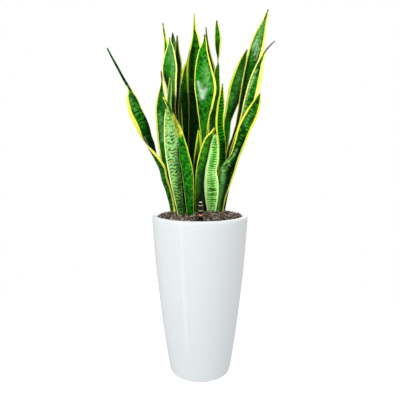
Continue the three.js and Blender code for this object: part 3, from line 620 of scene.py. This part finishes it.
# Turns an outline of (radius, height) about an upright axis. It starts and ends on the axis,
# or else it closes on itself.
def turned(name, outline, sides, centre=(0, 0)):
    on_axis = outline[0][0] == 0
    ring = outline[1:-1] if on_axis else outline
    turns = [2 * math.pi * k / sides for k in range(sides)]
    points = []
    for radius, height in ring:
        for turn in turns:
            x, y = radius * math.cos(turn), radius * math.sin(turn)
            points.append((centre[0] + x, centre[1] + y, height))
    faces = ring_faces(len(ring), sides, closed=not on_axis)
    if on_axis:
        bottom = len(points)
        last = bottom - sides
        points += [(*centre, outline[0][1]), (*centre, outline[-1][1])]
        for k in range(sides):
            n = (k + 1) % sides
            faces += [(bottom, n, k), (bottom + 1, last + k, last + n)]
    made = piece(name, points, faces)
    made.data.set_sharp_from_angle(angle=math.radians(CREASE))
    return made


def stand_in(made, material, node_name, body):
    made.data.materials.append(material)
    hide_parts(node_name)
    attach(made, body)


# Leaf blades
def smooth(value, low, high):
    part = min(max((value - low) / (high - low), 0), 1)
    return part * part * (3 - 2 * part)


def lerp(a, b, part):
    return a + (b - a) * part


def along(values, part):
    root, middle, tip = values
    if part < LEAF_MIDDLE:
        return lerp(root, middle, smooth(part, 0, LEAF_MIDDLE))
    return lerp(middle, tip, (part - LEAF_MIDDLE) / (1 - LEAF_MIDDLE))


# Smooth curve through the stations: all values between station i and i + 1
def between(stations, lengths, i, t):
    span = lengths[i + 1] - lengths[i]
    slopes = []
    for k in (i, i + 1):
        before = max(k - 1, 0)
        after = min(k + 1, len(stations) - 1)
        reach = lengths[after] - lengths[before]
        slopes.append([(b - a) / reach for a, b in zip(stations[before], stations[after])])
    ease = t * t * (3 - 2 * t)
    leave = (t ** 3 - 2 * t ** 2 + t) * span
    arrive = (t ** 3 - t ** 2) * span
    rows = zip(stations[i], stations[i + 1], slopes[0], slopes[1])
    return [a + (b - a) * ease + leave * s + arrive * e for a, b, s, e in rows]


# Where a blade has cross-sections: station, and the part of the way to the next one
def steps_along(lengths):
    last = len(lengths) - 2
    steps = []
    for i in range(last + 1):
        count = max(FEWEST_RINGS, math.ceil((lengths[i + 1] - lengths[i]) / RING_STEP))
        if i < last:
            steps += [(i, k / count) for k in range(count)]
        else:
            steps += [(i, 1 - (1 - k / count) ** TIP_CROWD) for k in range(count + 1)]
    return steps


# A cross-section of a blade in millimetres: the rib's place, its directions and its sizes
def section(stations, lengths, i, t):
    here = between(stations, lengths, i, t)
    ahead = Vector(between(stations, lengths, i, min(t + TANGENT_STEP, 1))[:3])
    behind = Vector(between(stations, lengths, i, max(t - TANGENT_STEP, 0))[:3])
    tangent = (ahead - behind).normalized()
    heading = math.radians(here[4])
    face = Vector((math.sin(heading), -math.cos(heading), 0))
    across = tangent.cross(face).normalized()
    length = lerp(lengths[i], lengths[i + 1], t)
    left = lengths[-1] - length
    part = length / lengths[-1]
    narrowing = max(math.sqrt(min(left / TIP_POINT, 1)), TIP_NARROWEST)
    half = max(here[3], TIP_WIDTH) / 2
    fold = here[5] if len(here) > 5 else 1
    return {
        "rib": Vector(here[:3]), "across": across, "face": across.cross(tangent),
        "length": length, "left": left, "half": half * narrowing, "edge": EDGE_THICK * narrowing,
        "core": min(along(CORE_THICK, part), EDGE_THICK + half * CORE_LIMIT) * narrowing,
        "channel": along(CHANNEL, part) * half * narrowing * fold,
    }


def sections(rows):
    x, y, _, _, *turn_and_fold = rows[0]
    stations = [(x, y, LEAF_BOTTOM, ROOT_WIDTH, *turn_and_fold), *rows]
    lengths = [0]
    for a, b in zip(stations, stations[1:]):
        lengths.append(lengths[-1] + math.dist(a[:3], b[:3]))
    return [section(stations, lengths, i, t) for i, t in steps_along(lengths)]


def thickness(ring, column):
    return ring["edge"] + (ring["core"] - ring["edge"]) * (1 - column ** 2)


# A point of a section's surface, in metres. Side is 1 on the hollow face and -1 on its back.
def blade_point(ring, column, side, phase):
    half = ring["half"]
    thick = thickness(ring, column)
    start = max(1 - EDGE_ROUND / half, 0)
    if abs(column) > start:
        thick *= math.sqrt(max(1 - ((abs(column) - start) / (1 - start)) ** 2, 0))
    calm = min(half / EDGE_WAVE_WIDTH, 1) * smooth(ring["length"], *EDGE_WAVE_START)
    turn = ring["length"] * 2 * math.pi / EDGE_WAVE_LENGTH + phase + (EDGE_WAVE_SHIFT if column > 0 else 0)
    lift = ring["channel"] * column ** 2 + EDGE_WAVE * calm * math.sin(turn) * column ** 4 + side * thick / 2
    return (ring["rib"] + ring["across"] * (column * half) + ring["face"] * lift) * MM


def edge_width(edges, height, column):
    side = 2 if column > 0 else 1
    if height <= edges[0][0]:
        return edges[0][side]
    for low, high in zip(edges, edges[1:]):
        if height <= high[0]:
            return lerp(low[side], high[side], smooth(height, low[0], high[0]))
    return edges[-1][side]


# How strongly the strokes of one kind colour a place on the blade
def stroke_value(strokes, kind, height, column, half):
    most = 0
    for of_kind, start, end, radius, amount in strokes:
        if of_kind != kind:
            continue
        part = min(max((height - start[0]) / (end[0] - start[0]), 0), 1)
        rise = height - lerp(start[0], end[0], part)
        aside = (column - lerp(start[1], end[1], part)) * half
        reach = radius if isinstance(radius, tuple) else (radius, radius)
        distance = math.hypot(rise / reach[0], aside / reach[1])
        most = max(most, amount * math.exp(-distance ** 2))
    return min(most, 1)


# A blade's mesh, with notes on its points for the material: places in millimetres, and strokes
def leaf(name, rows, look, seed):
    rings = sections(rows)
    columns = [math.sin(math.pi / 2 * j / HALF_COLUMNS) for j in range(-HALF_COLUMNS, HALF_COLUMNS + 1)]
    around = [(column, 1) for column in columns] + [(column, -1) for column in columns[-2:0:-1]]
    kinds = sorted({"dense", *(stroke[0] for stroke in look["strokes"])})
    points = []
    notes = {key: [] for key in ("across_mm", "along_mm", "inset_mm", "left_mm", *kinds)}
    for ring in rings:
        height = ring["rib"].z
        half = ring["half"]
        for column, side in around:
            points.append(blade_point(ring, column, side, seed * EDGE_WAVE_PHASE))
            inset = half * (1 - abs(column)) - edge_width(look["edges"], height, column)
            notes["across_mm"].append(column * half)
            notes["along_mm"].append(ring["length"])
            notes["inset_mm"].append(inset)
            notes["left_mm"].append(ring["left"])
            seen = lerp(SHADED_SIDE, 1, smooth(-side * ring["face"].y, *FACING))
            for kind in kinds:
                notes[kind].append(seen * stroke_value(look["strokes"], kind, height, column, half))
    size = len(around)
    ends = [tuple(reversed(range(size))), tuple(range(len(points) - size, len(points)))]
    made = piece(name, points, ring_faces(len(rings), size) + ends)
    for key, values in notes.items():
        note(made, key, values)
    return made


# Material helpers
def new_material(name):
    made = bpy.data.materials.new(name)
    made.use_nodes = True
    return made, made.node_tree, made.node_tree.nodes["Principled BSDF"]


def feed(tree, socket, value):
    if isinstance(value, bpy.types.NodeSocket):
        tree.links.new(value, socket)
    else:
        socket.default_value = value


def feed_all(tree, made, inputs):
    for socket, value in dict(inputs).items():
        feed(tree, made.inputs[socket], value)


def node(tree, kind, inputs=(), **settings):
    made = tree.nodes.new(kind)
    for key, value in settings.items():
        setattr(made, key, value)
    feed_all(tree, made, inputs)
    return made


def maths(tree, operation, *values):
    return node(tree, "ShaderNodeMath", enumerate(values), operation=operation).outputs[0]


def remap(tree, value, low, high, to_low=0.0, to_high=1.0, kind="SMOOTHSTEP"):
    inputs = {0: value, 1: low, 2: high, 3: to_low, 4: to_high}
    return node(tree, "ShaderNodeMapRange", inputs, interpolation_type=kind).outputs[0]


def straight(tree, value, low, high, to_low, to_high):
    return remap(tree, value, low, high, to_low, to_high, "LINEAR")


def mix(tree, factor, a, b):
    inputs = {0: factor, 6: colour(a), 7: colour(b)}
    return node(tree, "ShaderNodeMix", inputs, data_type="RGBA").outputs[2]


def scaled(tree, paint, factor):
    return node(tree, "ShaderNodeVectorMath", {0: paint, "Scale": factor}, operation="SCALE").outputs[0]


def colour(value):
    return (*value, 1) if isinstance(value, tuple) and len(value) == 3 else value


def measured(tree, name):
    return node(tree, "ShaderNodeAttribute", attribute_name=name).outputs["Fac"]


def place(tree, x, y, z=0.0):
    return node(tree, "ShaderNodeCombineXYZ", {0: x, 1: y, 2: z}).outputs[0]


def noise(tree, where, scale, detail=3.0, roughness=0.6):
    inputs = {"Vector": where, "Scale": scale, "Detail": detail, "Roughness": roughness}
    return node(tree, "ShaderNodeTexNoise", inputs).outputs[0]


def bump(tree, height, distance, strength, before=None):
    inputs = {"Height": height, "Distance": distance, "Strength": strength}
    if before is not None:
        inputs["Normal"] = before
    return node(tree, "ShaderNodeBump", inputs).outputs[0]


def object_place(tree):
    return node(tree, "ShaderNodeTexCoord").outputs["Object"]


def distance_out(tree, where):
    return node(tree, "ShaderNodeVectorMath", {0: where}, operation="LENGTH").outputs["Value"]


# Noise over a blade, with its own number of cycles a millimetre across and along
def grain_maker(tree, across, offset):
    def grain(length, per_across, per_along, layer, detail, roughness=0.55):
        where = place(tree, maths(tree, "MULTIPLY", across, per_across),
                      maths(tree, "MULTIPLY", length, per_along), offset + layer)
        return noise(tree, where, 1.0, detail, roughness)
    return grain


# Cross-bands: uneven ones from noise and even rows from a sine, both bent by wobbles and a zigzag
def cross_bands(tree, look, grain, across, length):
    period = look["period"]
    sparse = look["sparse"]
    shift = maths(tree, "MULTIPLY_ADD", grain(length, *GRAINS["drift"]), BAND_DRIFT, length)
    shift = maths(tree, "MULTIPLY_ADD", grain(length, *GRAINS["wobble"]), look["wobble"], shift)
    zigzag = maths(tree, "PINGPONG", maths(tree, "ADD", across, ZIGZAG_START), ZIGZAG_WIDTH)
    shift = maths(tree, "MULTIPLY_ADD", zigzag, look["rows"] * look["zigzag"] / ZIGZAG_WIDTH, shift)
    more = maths(tree, "MULTIPLY", measured(tree, "dense"), DENSER)
    spots = grain(shift, look["fine"], 1.0 / period, SPOT_LAYER, BAND_DETAIL)
    uneven = remap(tree, maths(tree, "ADD", spots, more), sparse, sparse + 0.06)
    uneven = maths(tree, "MULTIPLY", uneven, min(1, 2 - 2 * look["rows"]))
    wave = maths(tree, "SINE", maths(tree, "MULTIPLY", shift, 2 * math.pi / period))
    gaps = grain(shift, GAP_ACROSS, GAP_ALONG / period, GAP_LAYER, BAND_DETAIL)
    broken = remap(tree, maths(tree, "ADD", gaps, more), sparse - 0.07, sparse + 0.05)
    rows = maths(tree, "MULTIPLY", remap(tree, wave, -0.3, 0.5), broken)
    rows = maths(tree, "MULTIPLY", rows, min(1, 2 * look["rows"]))
    bands = maths(tree, "MAXIMUM", uneven, rows)
    zone = remap(tree, grain(length, *GRAINS["zone"]), 0.35, 0.6, 0.72, 1.0)
    return maths(tree, "MULTIPLY", maths(tree, "MULTIPLY", bands, zone), look["bands"]), shift


# Strokes in other tones, streaked along the blade and speckled: painted sheen, painted light and shade,
# and tones of the leaf
def painted(tree, tone, kinds, streaks, speckles):
    uneven = maths(tree, "ADD", straight(tree, streaks, 0.3, 0.7, -0.22, 0.22),
                   straight(tree, speckles, 0.3, 0.7, -0.38, 0.30))
    for kind in PAINTS:
        if kind in kinds:
            factor = maths(tree, "MULTIPLY", measured(tree, kind), maths(tree, "ADD", uneven, 1.0))
            tone = mix(tree, node(tree, "ShaderNodeClamp", {0: factor}).outputs[0], tone, PAINTS[kind])
    return tone


# Cross-bands, fainter under the painted sheen and the other pale tones, brighter around them where dense
def banded(tree, tone, kinds, bands, band):
    tone = scaled(tree, tone, straight(tree, measured(tree, "dense"), 0.0, 1.0, 1.0, DENSE_LIGHT))
    for kind in FADING:
        if kind in kinds:
            cover = straight(tree, measured(tree, kind), 0.0, 1.0, 1.0, FADED)
            bands = maths(tree, "MULTIPLY", bands, cover)
    return mix(tree, bands, tone, band)


# Yellow edge with thin darker threads along it
def edge_paint(tree, look, grain, length):
    threads = remap(tree, grain(length, *GRAINS["threads"]), 0.52, 0.68, 1.0, 0.85)
    blush = remap(tree, grain(length, *GRAINS["blush"]), 0.5, 0.72, 0.0, 0.22)
    return mix(tree, blush, scaled(tree, look["edge"], threads), LIME)


# Shaded stretches: most of the light goes from the green, less from the edge
def shaded(tree, tone, edge, kinds, speckles):
    for kind, (green_loss, edge_loss) in SHADES.items():
        if kind in kinds:
            patchy = straight(tree, speckles, 0.3, 0.6, 1.0, 0.90)
            worn = maths(tree, "MULTIPLY", measured(tree, kind), patchy)
            tone = scaled(tree, tone, maths(tree, "MULTIPLY_ADD", worn, -green_loss, 1.0))
            edge = scaled(tree, edge, maths(tree, "MULTIPLY_ADD", worn, -edge_loss, 1.0))
    return tone, edge


# Waxy gloss over fine ribs along the blade and a faint waviness
def blade_relief(tree, grain, length, bands):
    ribs = bump(tree, grain(length, *GRAINS["ribs"]), 0.0003, 0.5)
    dents = bump(tree, grain(length, *GRAINS["dents"]), 0.0020, 0.5, ribs)
    return bump(tree, bands, 0.0002, 0.4, dents)


def leaf_material(name, look, seed):
    made, tree, shader = new_material(name)
    across = measured(tree, "across_mm")
    length = measured(tree, "along_mm")
    grain = grain_maker(tree, across, seed * LEAF_TO_LEAF)
    kinds = {stroke[0] for stroke in look["strokes"]}
    streaks = grain(length, *GRAINS["streaks"])
    speckles = grain(length, *GRAINS["speckles"])
    bands, shift = cross_bands(tree, look, grain, across, length)
    tone = painted(tree, look["ground"], kinds, streaks, speckles)
    tone = banded(tree, tone, kinds, bands, look["band"])
    tone = scaled(tree, tone, straight(tree, grain(shift, *GRAINS["flecks"]), 0.34, 0.66, 0.66, 1.34))
    tone = scaled(tree, tone, straight(tree, streaks, 0.3, 0.7, 0.84, 1.18))
    if "glint" in kinds:
        patchy = remap(tree, speckles, 0.36, 0.56, 0.55, 1.0)
        tone = mix(tree, maths(tree, "MULTIPLY", measured(tree, "glint"), patchy), tone, GLINT)

    waver = maths(tree, "SUBTRACT", grain(length, *GRAINS["waver"]), 0.5)
    line = maths(tree, "MULTIPLY_ADD", waver, EDGE_WAVER, measured(tree, "inset_mm"))
    tone, edge = shaded(tree, tone, edge_paint(tree, look, grain, length), kinds, speckles)
    tone = mix(tree, remap(tree, line, *EDGE_SOFT, 1.0, 0.0), tone, edge)
    tip = remap(tree, measured(tree, "left_mm"), look["tip"] * 0.35, look["tip"], 0.92, 0.0)
    tone = mix(tree, tip, tone, look["tip_colour"])
    feed_all(tree, shader, {
        "Base Color": tone,
        "Roughness": straight(tree, grain(length, *GRAINS["gloss"]), 0.3, 0.7, 0.26, 0.46),
        "Specular IOR Level": look["gloss"],
        # Glow: emission, painted light standing in for light through the blade
        "Emission Color": tone,
        "Emission Strength": look["glow"],
        "Normal": blade_relief(tree, grain, length, bands),
    })
    return made


def build_leaves():
    for seed, (name, rows) in enumerate(LEAVES.items(), start=1):
        look = {**PLAIN, **LOOKS[name]}
        made = leaf("blade_" + name[len("leaf_"):], rows, look, seed)
        stand_in(made, leaf_material(made.name, look, seed), name, "pot")


# Planter
def body_radius(height):
    drop = (POT_HEIGHT - height) / POT_HEIGHT
    return BODY_TOP_RADIUS - sum(taper * drop ** (i + 1) for i, taper in enumerate(BODY_TAPER))


def build_planter():
    foot = body_radius(0) - FOOT_ROUND
    ledge_foot = LEDGE_TOP - LEDGE_HEIGHT
    slope_foot = ledge_foot - LEDGE_SLOPE
    lip_middle = POT_HEIGHT - LIP_ROUND
    outside = [lerp(FOOT_ROUND, lip_middle, i / BODY_RINGS) for i in range(1, BODY_RINGS)]
    inside = [lerp(FLOOR, slope_foot, i / BODY_RINGS) for i in range(BODY_RINGS, -1, -1)]
    outline = [(0, 0), *arc(foot, FOOT_ROUND, FOOT_ROUND, -90, 0, FOOT_STEPS),
               *((body_radius(height), height) for height in outside),
               *arc(LIP_RADIUS - LIP_ROUND, lip_middle, LIP_ROUND, 0, 180, LIP_STEPS),
               (MOUTH_RADIUS, LEDGE_TOP), (LEDGE_RADIUS, LEDGE_TOP), (LEDGE_RADIUS, ledge_foot),
               *((body_radius(height) - WALL, height) for height in inside), (0, FLOOR)]
    shell = turned("planter_shell", outline, POT_SIDES)
    stand_in(shell, gloss_white(), "planter", "pot")


def gloss_white():
    made, tree, shader = new_material("planter_gloss")
    where = object_place(tree)
    broad = noise(tree, where, 6.0, 2.0, 0.5)
    scuffs = noise(tree, where, 55.0, 4.0)
    peel = bump(tree, noise(tree, where, 260.0, 2.0, 0.5), 0.0002, 0.12)
    feed_all(tree, shader, {
        "Base Color": mix(tree, broad, (0.700, 0.735, 0.757), (0.730, 0.765, 0.787)),
        "Roughness": straight(tree, scuffs, 0.35, 0.75, 0.13, 0.24),
        "Coat Weight": 0.25,
        "Coat Roughness": 0.06,
        "Normal": bump(tree, noise(tree, where, 11.0, 1.0, 0.5), 0.004, 0.10, peel),
    })
    return made


# Granules: small rough stones and bark, kept clear of the leaves and the gauge
def soil_height(x, y):
    part = math.hypot(x, y) / MOUTH_RADIUS
    slow, cross, quick = (math.sin(a * (x / MM) + b * (y / MM)) for a, b in SOIL_WAVES)
    return SOIL_EDGE + SOIL_RISE * (1 - part ** 2) + SOIL_BUMP * (slow * cross + QUICK_WAVE * quick)


# Lines where the blades pass through the soil's surface, as points with half the blade's thickness
def blade_feet():
    feet = []
    for rows in LEAVES.values():
        ring = min(sections(rows), key=lambda each: abs(each["rib"].z * MM - POT_HEIGHT))
        for j in range(-BLADE_FOOT_STEPS, BLADE_FOOT_STEPS + 1):
            column = j / BLADE_FOOT_STEPS
            point = ring["rib"] + ring["across"] * (column * ring["half"])
            point += ring["face"] * (ring["channel"] * column ** 2)
            feet.append((point.x * MM, point.y * MM, thickness(ring, column) / 2 * MM))
    return feet


# A ball of twenty triangles: its corners lie on three golden rectangles
def ball():
    golden = (1 + math.sqrt(5)) / 2
    corners = []
    for a in (-1, 1):
        for b in (-golden, golden):
            corners += [(0, a, b), (a, b, 0), (b, 0, a)]
    corners = [Vector(corner).normalized() for corner in corners]
    count = len(corners)
    edge = min((corners[0] - corner).length for corner in corners[1:]) * BALL_SLACK
    faces = []
    for a in range(count):
        for b in range(a + 1, count):
            for c in range(b + 1, count):
                trio = (corners[a], corners[b], corners[c])
                if max((trio[i] - trio[i - 1]).length for i in range(3)) > edge:
                    continue
                outward = (trio[1] - trio[0]).cross(trio[2] - trio[0]).dot(trio[0]) > 0
                faces.append((a, b, c) if outward else (a, c, b))
    return corners, faces


def build_granules():
    draw = random.Random(GRANULE_SEED)
    corners, corner_faces = ball()
    feet = blade_feet()
    points, faces, tones = [], [], []
    while len(tones) < GRANULE_COUNT * len(corners):
        size = draw.uniform(*GRANULE_SIZE)
        reach = (GRANULE_EDGE - size) * math.sqrt(draw.random())
        angle = draw.uniform(0, 2 * math.pi)
        x, y = reach * math.cos(angle), reach * math.sin(angle)
        if math.hypot(x - GAUGE_AT[0], y - GAUGE_AT[1]) < SHAFT_RADIUS + size:
            continue
        if any(math.hypot(x - a, y - b) < thick + GRANULE_CLEAR for a, b, thick in feet):
            continue
        centre = Vector((x, y, soil_height(x, y) + size * draw.uniform(*GRANULE_SINK)))
        spin = Euler([draw.uniform(0, 2 * math.pi) for _ in range(3)]).to_matrix()
        stretch = Vector([draw.uniform(*GRANULE_STRETCH) for _ in range(3)])
        tone = draw.random()
        first = len(points)
        for corner in corners:
            shaped = Vector([a * b for a, b in zip(corner, stretch)]) * size * draw.uniform(*GRANULE_ROUGH)
            points.append(centre + spin @ shaped)
            tones.append(tone)
        faces += [tuple(first + i for i in face) for face in corner_faces]
    stones = piece("granules_loose", points, faces, smooth=False)
    note(stones, "tone", tones)
    stones.data.materials.append(granule_material())
    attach(stones, "pot")


def granule_material():
    made, tree, shader = new_material("granule_stone")
    ramp = node(tree, "ShaderNodeValToRGB", {0: measured(tree, "tone")})
    stops = [(0.0, (0.008, 0.005, 0.004)), (0.35, (0.055, 0.036, 0.026)), (0.62, (0.190, 0.138, 0.108)),
             (0.85, (0.480, 0.390, 0.325)), (1.0, (0.030, 0.019, 0.013))]
    while len(ramp.color_ramp.elements) < len(stops):
        ramp.color_ramp.elements.new(0.5)
    for element, (position, paint) in zip(ramp.color_ramp.elements, stops):
        element.position = position
        element.color = colour(paint)
    grit = noise(tree, object_place(tree), 900.0, 4.0, 0.65)
    feed_all(tree, shader, {
        "Base Color": scaled(tree, ramp.outputs[0], straight(tree, grit, 0.3, 0.7, 0.62, 1.3)),
        "Roughness": straight(tree, grit, 0.3, 0.7, 0.75, 0.97),
        "Specular IOR Level": 0.25,
        "Normal": bump(tree, grit, 0.0006, 0.8),
    })
    return made


# Fine soil under the granules
def soil_material():
    made, tree, shader = new_material("soil_crumb")
    where = object_place(tree)
    crumb = noise(tree, where, 320.0, 5.0, 0.7)
    lumps = remap(tree, noise(tree, where, 90.0), 0.4, 0.65)
    shade = mix(tree, crumb, (0.018, 0.012, 0.009), (0.115, 0.082, 0.066))
    feed_all(tree, shader, {
        "Base Color": mix(tree, lumps, shade, (0.05, 0.036, 0.028)),
        "Roughness": 0.95,
        "Specular IOR Level": 0.2,
        "Normal": bump(tree, crumb, 0.0015, 0.9),
    })
    return made


# Water level gauge: black shaft, clear ribbed head, and the float with its red marker
def build_shaft():
    low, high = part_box("gauge_shaft")
    outline = [(0, low.z), (SHAFT_RADIUS - 2 * SHAFT_ROUND, low.z), (SHAFT_RADIUS, low.z + 2 * SHAFT_ROUND),
               (SHAFT_RADIUS, high.z - SHAFT_ROUND), (SHAFT_RADIUS - SHAFT_ROUND, high.z),
               (SHAFT_BORE, high.z), (SHAFT_BORE, low.z + SHAFT_FLOOR), (0, low.z + SHAFT_FLOOR)]
    shaft = turned("gauge_tube", outline, GAUGE_SIDES, GAUGE_AT)
    stand_in(shaft, black_plastic("gauge_black", 0.35), "gauge_shaft", "pot")


def build_head():
    low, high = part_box("gauge_head")
    bottom, top = low.z, high.z
    wall = [(HEAD_RADIUS, bottom)]
    for rib in HEAD_RIBS:
        middle = bottom + rib + HEAD_RIB_HEIGHT / 2
        wall += [(HEAD_RADIUS, bottom + rib), *arc(HEAD_RADIUS, middle, HEAD_RIB, -80, 80, RIB_STEPS),
                 (HEAD_RADIUS, bottom + rib + HEAD_RIB_HEIGHT)]
    turns = [math.pi / 2 * i / DOME_STEPS for i in range(DOME_STEPS)]
    dome = [(HEAD_RADIUS * math.cos(turn), top - HEAD_DOME + HEAD_DOME * math.sin(turn)) for turn in turns]
    hollow = [(HEAD_BORE * math.cos(turn), top - HEAD_HOLLOW_DOWN + HEAD_HOLLOW * math.sin(turn))
              for turn in reversed(turns)]
    outline = [*wall, *dome, (HEAD_EYE, top), (HEAD_EYE, top - HEAD_CROWN), *hollow, (HEAD_BORE, bottom)]
    head = turned("gauge_dome", outline, GAUGE_SIDES, GAUGE_AT)
    stand_in(head, clear_plastic(), "gauge_head", "pot")


def build_float():
    low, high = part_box("gauge_float")
    marker_low = high.z - MARKER_HEIGHT
    float_top = low.z + FLOAT_HEIGHT
    outline = [(0, low.z), (FLOAT_RADIUS - FLOAT_TAPER / 2, low.z), (FLOAT_RADIUS, low.z + FLOAT_TAPER),
               (FLOAT_RADIUS, float_top - FLOAT_TAPER), (FLOAT_RADIUS - FLOAT_TAPER / 2, float_top),
               (ROD_RADIUS, float_top), (ROD_RADIUS, marker_low), (MARKER_RADIUS - MARKER_ROUND, marker_low),
               (MARKER_RADIUS, marker_low + MARKER_ROUND), (MARKER_RADIUS, high.z - MARKER_ROUND),
               (MARKER_RADIUS - MARKER_ROUND, high.z), (0, high.z)]
    marker = turned("gauge_marker", outline, GAUGE_SIDES, GAUGE_AT)
    stand_in(marker, red_plastic(), "gauge_float", "float")


def black_plastic(name, roughness):
    made, tree, shader = new_material(name)
    where = object_place(tree)
    grain = noise(tree, where, 700.0)
    dust = remap(tree, noise(tree, where, 60.0), 0.45, 0.8)
    feed_all(tree, shader, {
        "Base Color": mix(tree, dust, (0.003, 0.003, 0.003), (0.009, 0.008, 0.008)),
        "Roughness": remap(tree, grain, 0.3, 0.7, roughness - 0.08, roughness + 0.12),
        "Specular IOR Level": 0.15,
        "Normal": bump(tree, grain, 0.0002, 0.3),
    })
    return made


# The clear head is coloured by height: near-black, a painted shade of what lies behind it; a glowing
# pale cap, a painted highlight; golden rings on the ribs, painted light coming through them; and an
# orange foot, the marker's colour painted on where it shows through
def clear_plastic():
    made, tree, shader = new_material("gauge_clear_painted_dark")
    where = object_place(tree)
    haze = noise(tree, where, 400.0)
    height = node(tree, "ShaderNodeSeparateXYZ", {0: where}).outputs[2]
    solid = remap(tree, height, HEAD_CAP, HEAD_CAP + 0.0015)
    # Near-black for the painted shade behind the clear wall, pale on the cap
    tint = mix(tree, solid, (0.010, 0.006, 0.006), (0.90, 0.90, 0.88))
    for rib in HEAD_RIBS:
        level = HEAD_BOTTOM + rib + HEAD_RIB_HEIGHT / 2
        away = maths(tree, "ABSOLUTE", maths(tree, "SUBTRACT", height, level))
        ring = remap(tree, away, HEAD_RIB_HEIGHT * 0.35, HEAD_RIB_HEIGHT * 0.6, 1.0, 0.0)
        tint = mix(tree, ring, tint, (0.55, 0.38, 0.16))
        solid = maths(tree, "MAXIMUM", solid, ring)
    # Orange foot: the marker's colour painted on the head
    foot = remap(tree, height, HEAD_BOTTOM + 0.004, HEAD_BOTTOM + 0.007, 1.0, 0.0)
    cap = remap(tree, height, HEAD_CAP, HEAD_CAP + 0.001)
    feed_all(tree, shader, {
        "Base Color": mix(tree, foot, tint, (0.95, 0.62, 0.40)),
        "Roughness": remap(tree, haze, 0.3, 0.8, 0.02, 0.10),
        "Transmission Weight": straight(tree, solid, 0.0, 1.0, 0.80, 0.10),
        "IOR": 1.35,
        # The cap glows: painted highlight
        "Emission Color": mix(tree, cap, (0.0, 0.0, 0.0), (1.0, 1.0, 0.96)),
        "Emission Strength": CAP_GLOW,
        "Specular IOR Level": 0.15,
        "Normal": bump(tree, haze, 0.0001, 0.15),
    })
    return made


def red_plastic():
    made, tree, shader = new_material("float_red_satin")
    grain = noise(tree, object_place(tree), 900.0)
    feed_all(tree, shader, {
        "Base Color": mix(tree, grain, (0.80, 0.075, 0.012), (0.62, 0.045, 0.008)),
        "Roughness": remap(tree, grain, 0.3, 0.7, 0.28, 0.45),
        # The marker glows: painted light that lets it show through the dark head
        "Emission Color": (1.0, 0.20, 0.0, 1),
        "Emission Strength": MARKER_GLOW,
        "Normal": bump(tree, grain, 0.0001, 0.25),
    })
    return made


# Root stock: tan, with darker rings
def root_material():
    made, tree, shader = new_material("root_skin")
    where = object_place(tree)
    x, y, _ = node(tree, "ShaderNodeSeparateXYZ", {0: where}).outputs
    wobble = noise(tree, where, 40.0)
    bend = maths(tree, "MULTIPLY", wobble, 9.0)
    turns = maths(tree, "MULTIPLY_ADD", distance_out(tree, place(tree, x, y)), 620.0, bend)
    rings = remap(tree, maths(tree, "SINE", turns), -0.2, 0.9)
    skin = mix(tree, wobble, (0.60, 0.34, 0.11), (0.42, 0.20, 0.055))
    feed_all(tree, shader, {
        "Base Color": mix(tree, maths(tree, "MULTIPLY", rings, 0.55), skin, (0.22, 0.10, 0.03)),
        "Roughness": 0.7,
        "Normal": bump(tree, rings, 0.0015, 0.7),
    })
    return made


# Inner parts that keep the frame's own solids
def dress_inner_parts():
    looks = {"soil": soil_material(), "rhizome": root_material()}
    looks["liner"] = looks["separator"] = black_plastic("insert_satin", 0.48)
    for name, made in looks.items():
        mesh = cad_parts[name].data
        mesh.materials.clear()
        mesh.materials.append(made)


# Floor, light and camera
def build_floor():
    outline = [(0, -FLOOR_THICK), (FLOOR_RADIUS, -FLOOR_THICK), (FLOOR_RADIUS, 0), (0, 0)]
    floor = turned("studio_floor", outline, FLOOR_SIDES)
    made, tree, shader = new_material("studio_pale")
    where = object_place(tree)
    feed_all(tree, shader, {
        "Base Color": mix(tree, noise(tree, where, 30.0), (0.93, 0.93, 0.93), (0.95, 0.95, 0.95)),
        "Roughness": 0.9,
        "Specular IOR Level": 0.1,
        "Emission Color": (1, 1, 1, 1),
        "Emission Strength": FLOOR_GLOW,
    })
    fade = remap(tree, distance_out(tree, where), *FLOOR_FADE, 1.0, 0.0)
    clear = node(tree, "ShaderNodeBsdfTransparent").outputs[0]
    blend = node(tree, "ShaderNodeMixShader", {0: fade, 1: clear, 2: shader.outputs[0]}).outputs[0]
    feed(tree, tree.nodes["Material Output"].inputs["Surface"], blend)
    floor.data.materials.append(made)
    floor.visible_glossy = False
    floor.visible_diffuse = False


def build_lights():
    for name, setting in LIGHTS.items():
        light = bpy.data.lights.new(name, "AREA")
        light.shape = "RECTANGLE"
        light.size, light.size_y = setting["size"]
        light.energy = setting["power"]
        made = placed(name, light)
        made.location = setting["at"]
        way = Vector(setting["aim"]) - Vector(setting["at"])
        made.rotation_euler = way.to_track_quat("-Z", "Y").to_euler()
        made.visible_glossy = name != "front"


def build_world():
    world = bpy.data.worlds.new("studio")
    bpy.context.scene.world = world
    world.use_nodes = True
    tree = world.node_tree
    seen = node(tree, "ShaderNodeLightPath").outputs["Is Camera Ray"]
    strength = straight(tree, seen, 0.0, 1.0, WORLD_LIGHT, 1.0)
    feed_all(tree, tree.nodes["Background"], {"Color": (1, 1, 1, 1), "Strength": strength})


def build_camera():
    camera = bpy.data.cameras.new("camera")
    camera.lens = LENS
    camera.sensor_width = SENSOR
    made = placed("camera", camera)
    made.location = CAMERA_AT
    made.rotation_euler = (math.radians(90 - CAMERA_DOWN), 0, 0)
    bpy.context.scene.camera = made


build_camera()
build_world()
build_lights()
build_floor()
build_planter()
dress_inner_parts()
build_granules()
build_shaft()
build_head()
build_float()
build_leaves()

bpy.context.scene.view_settings.view_transform = "Standard"
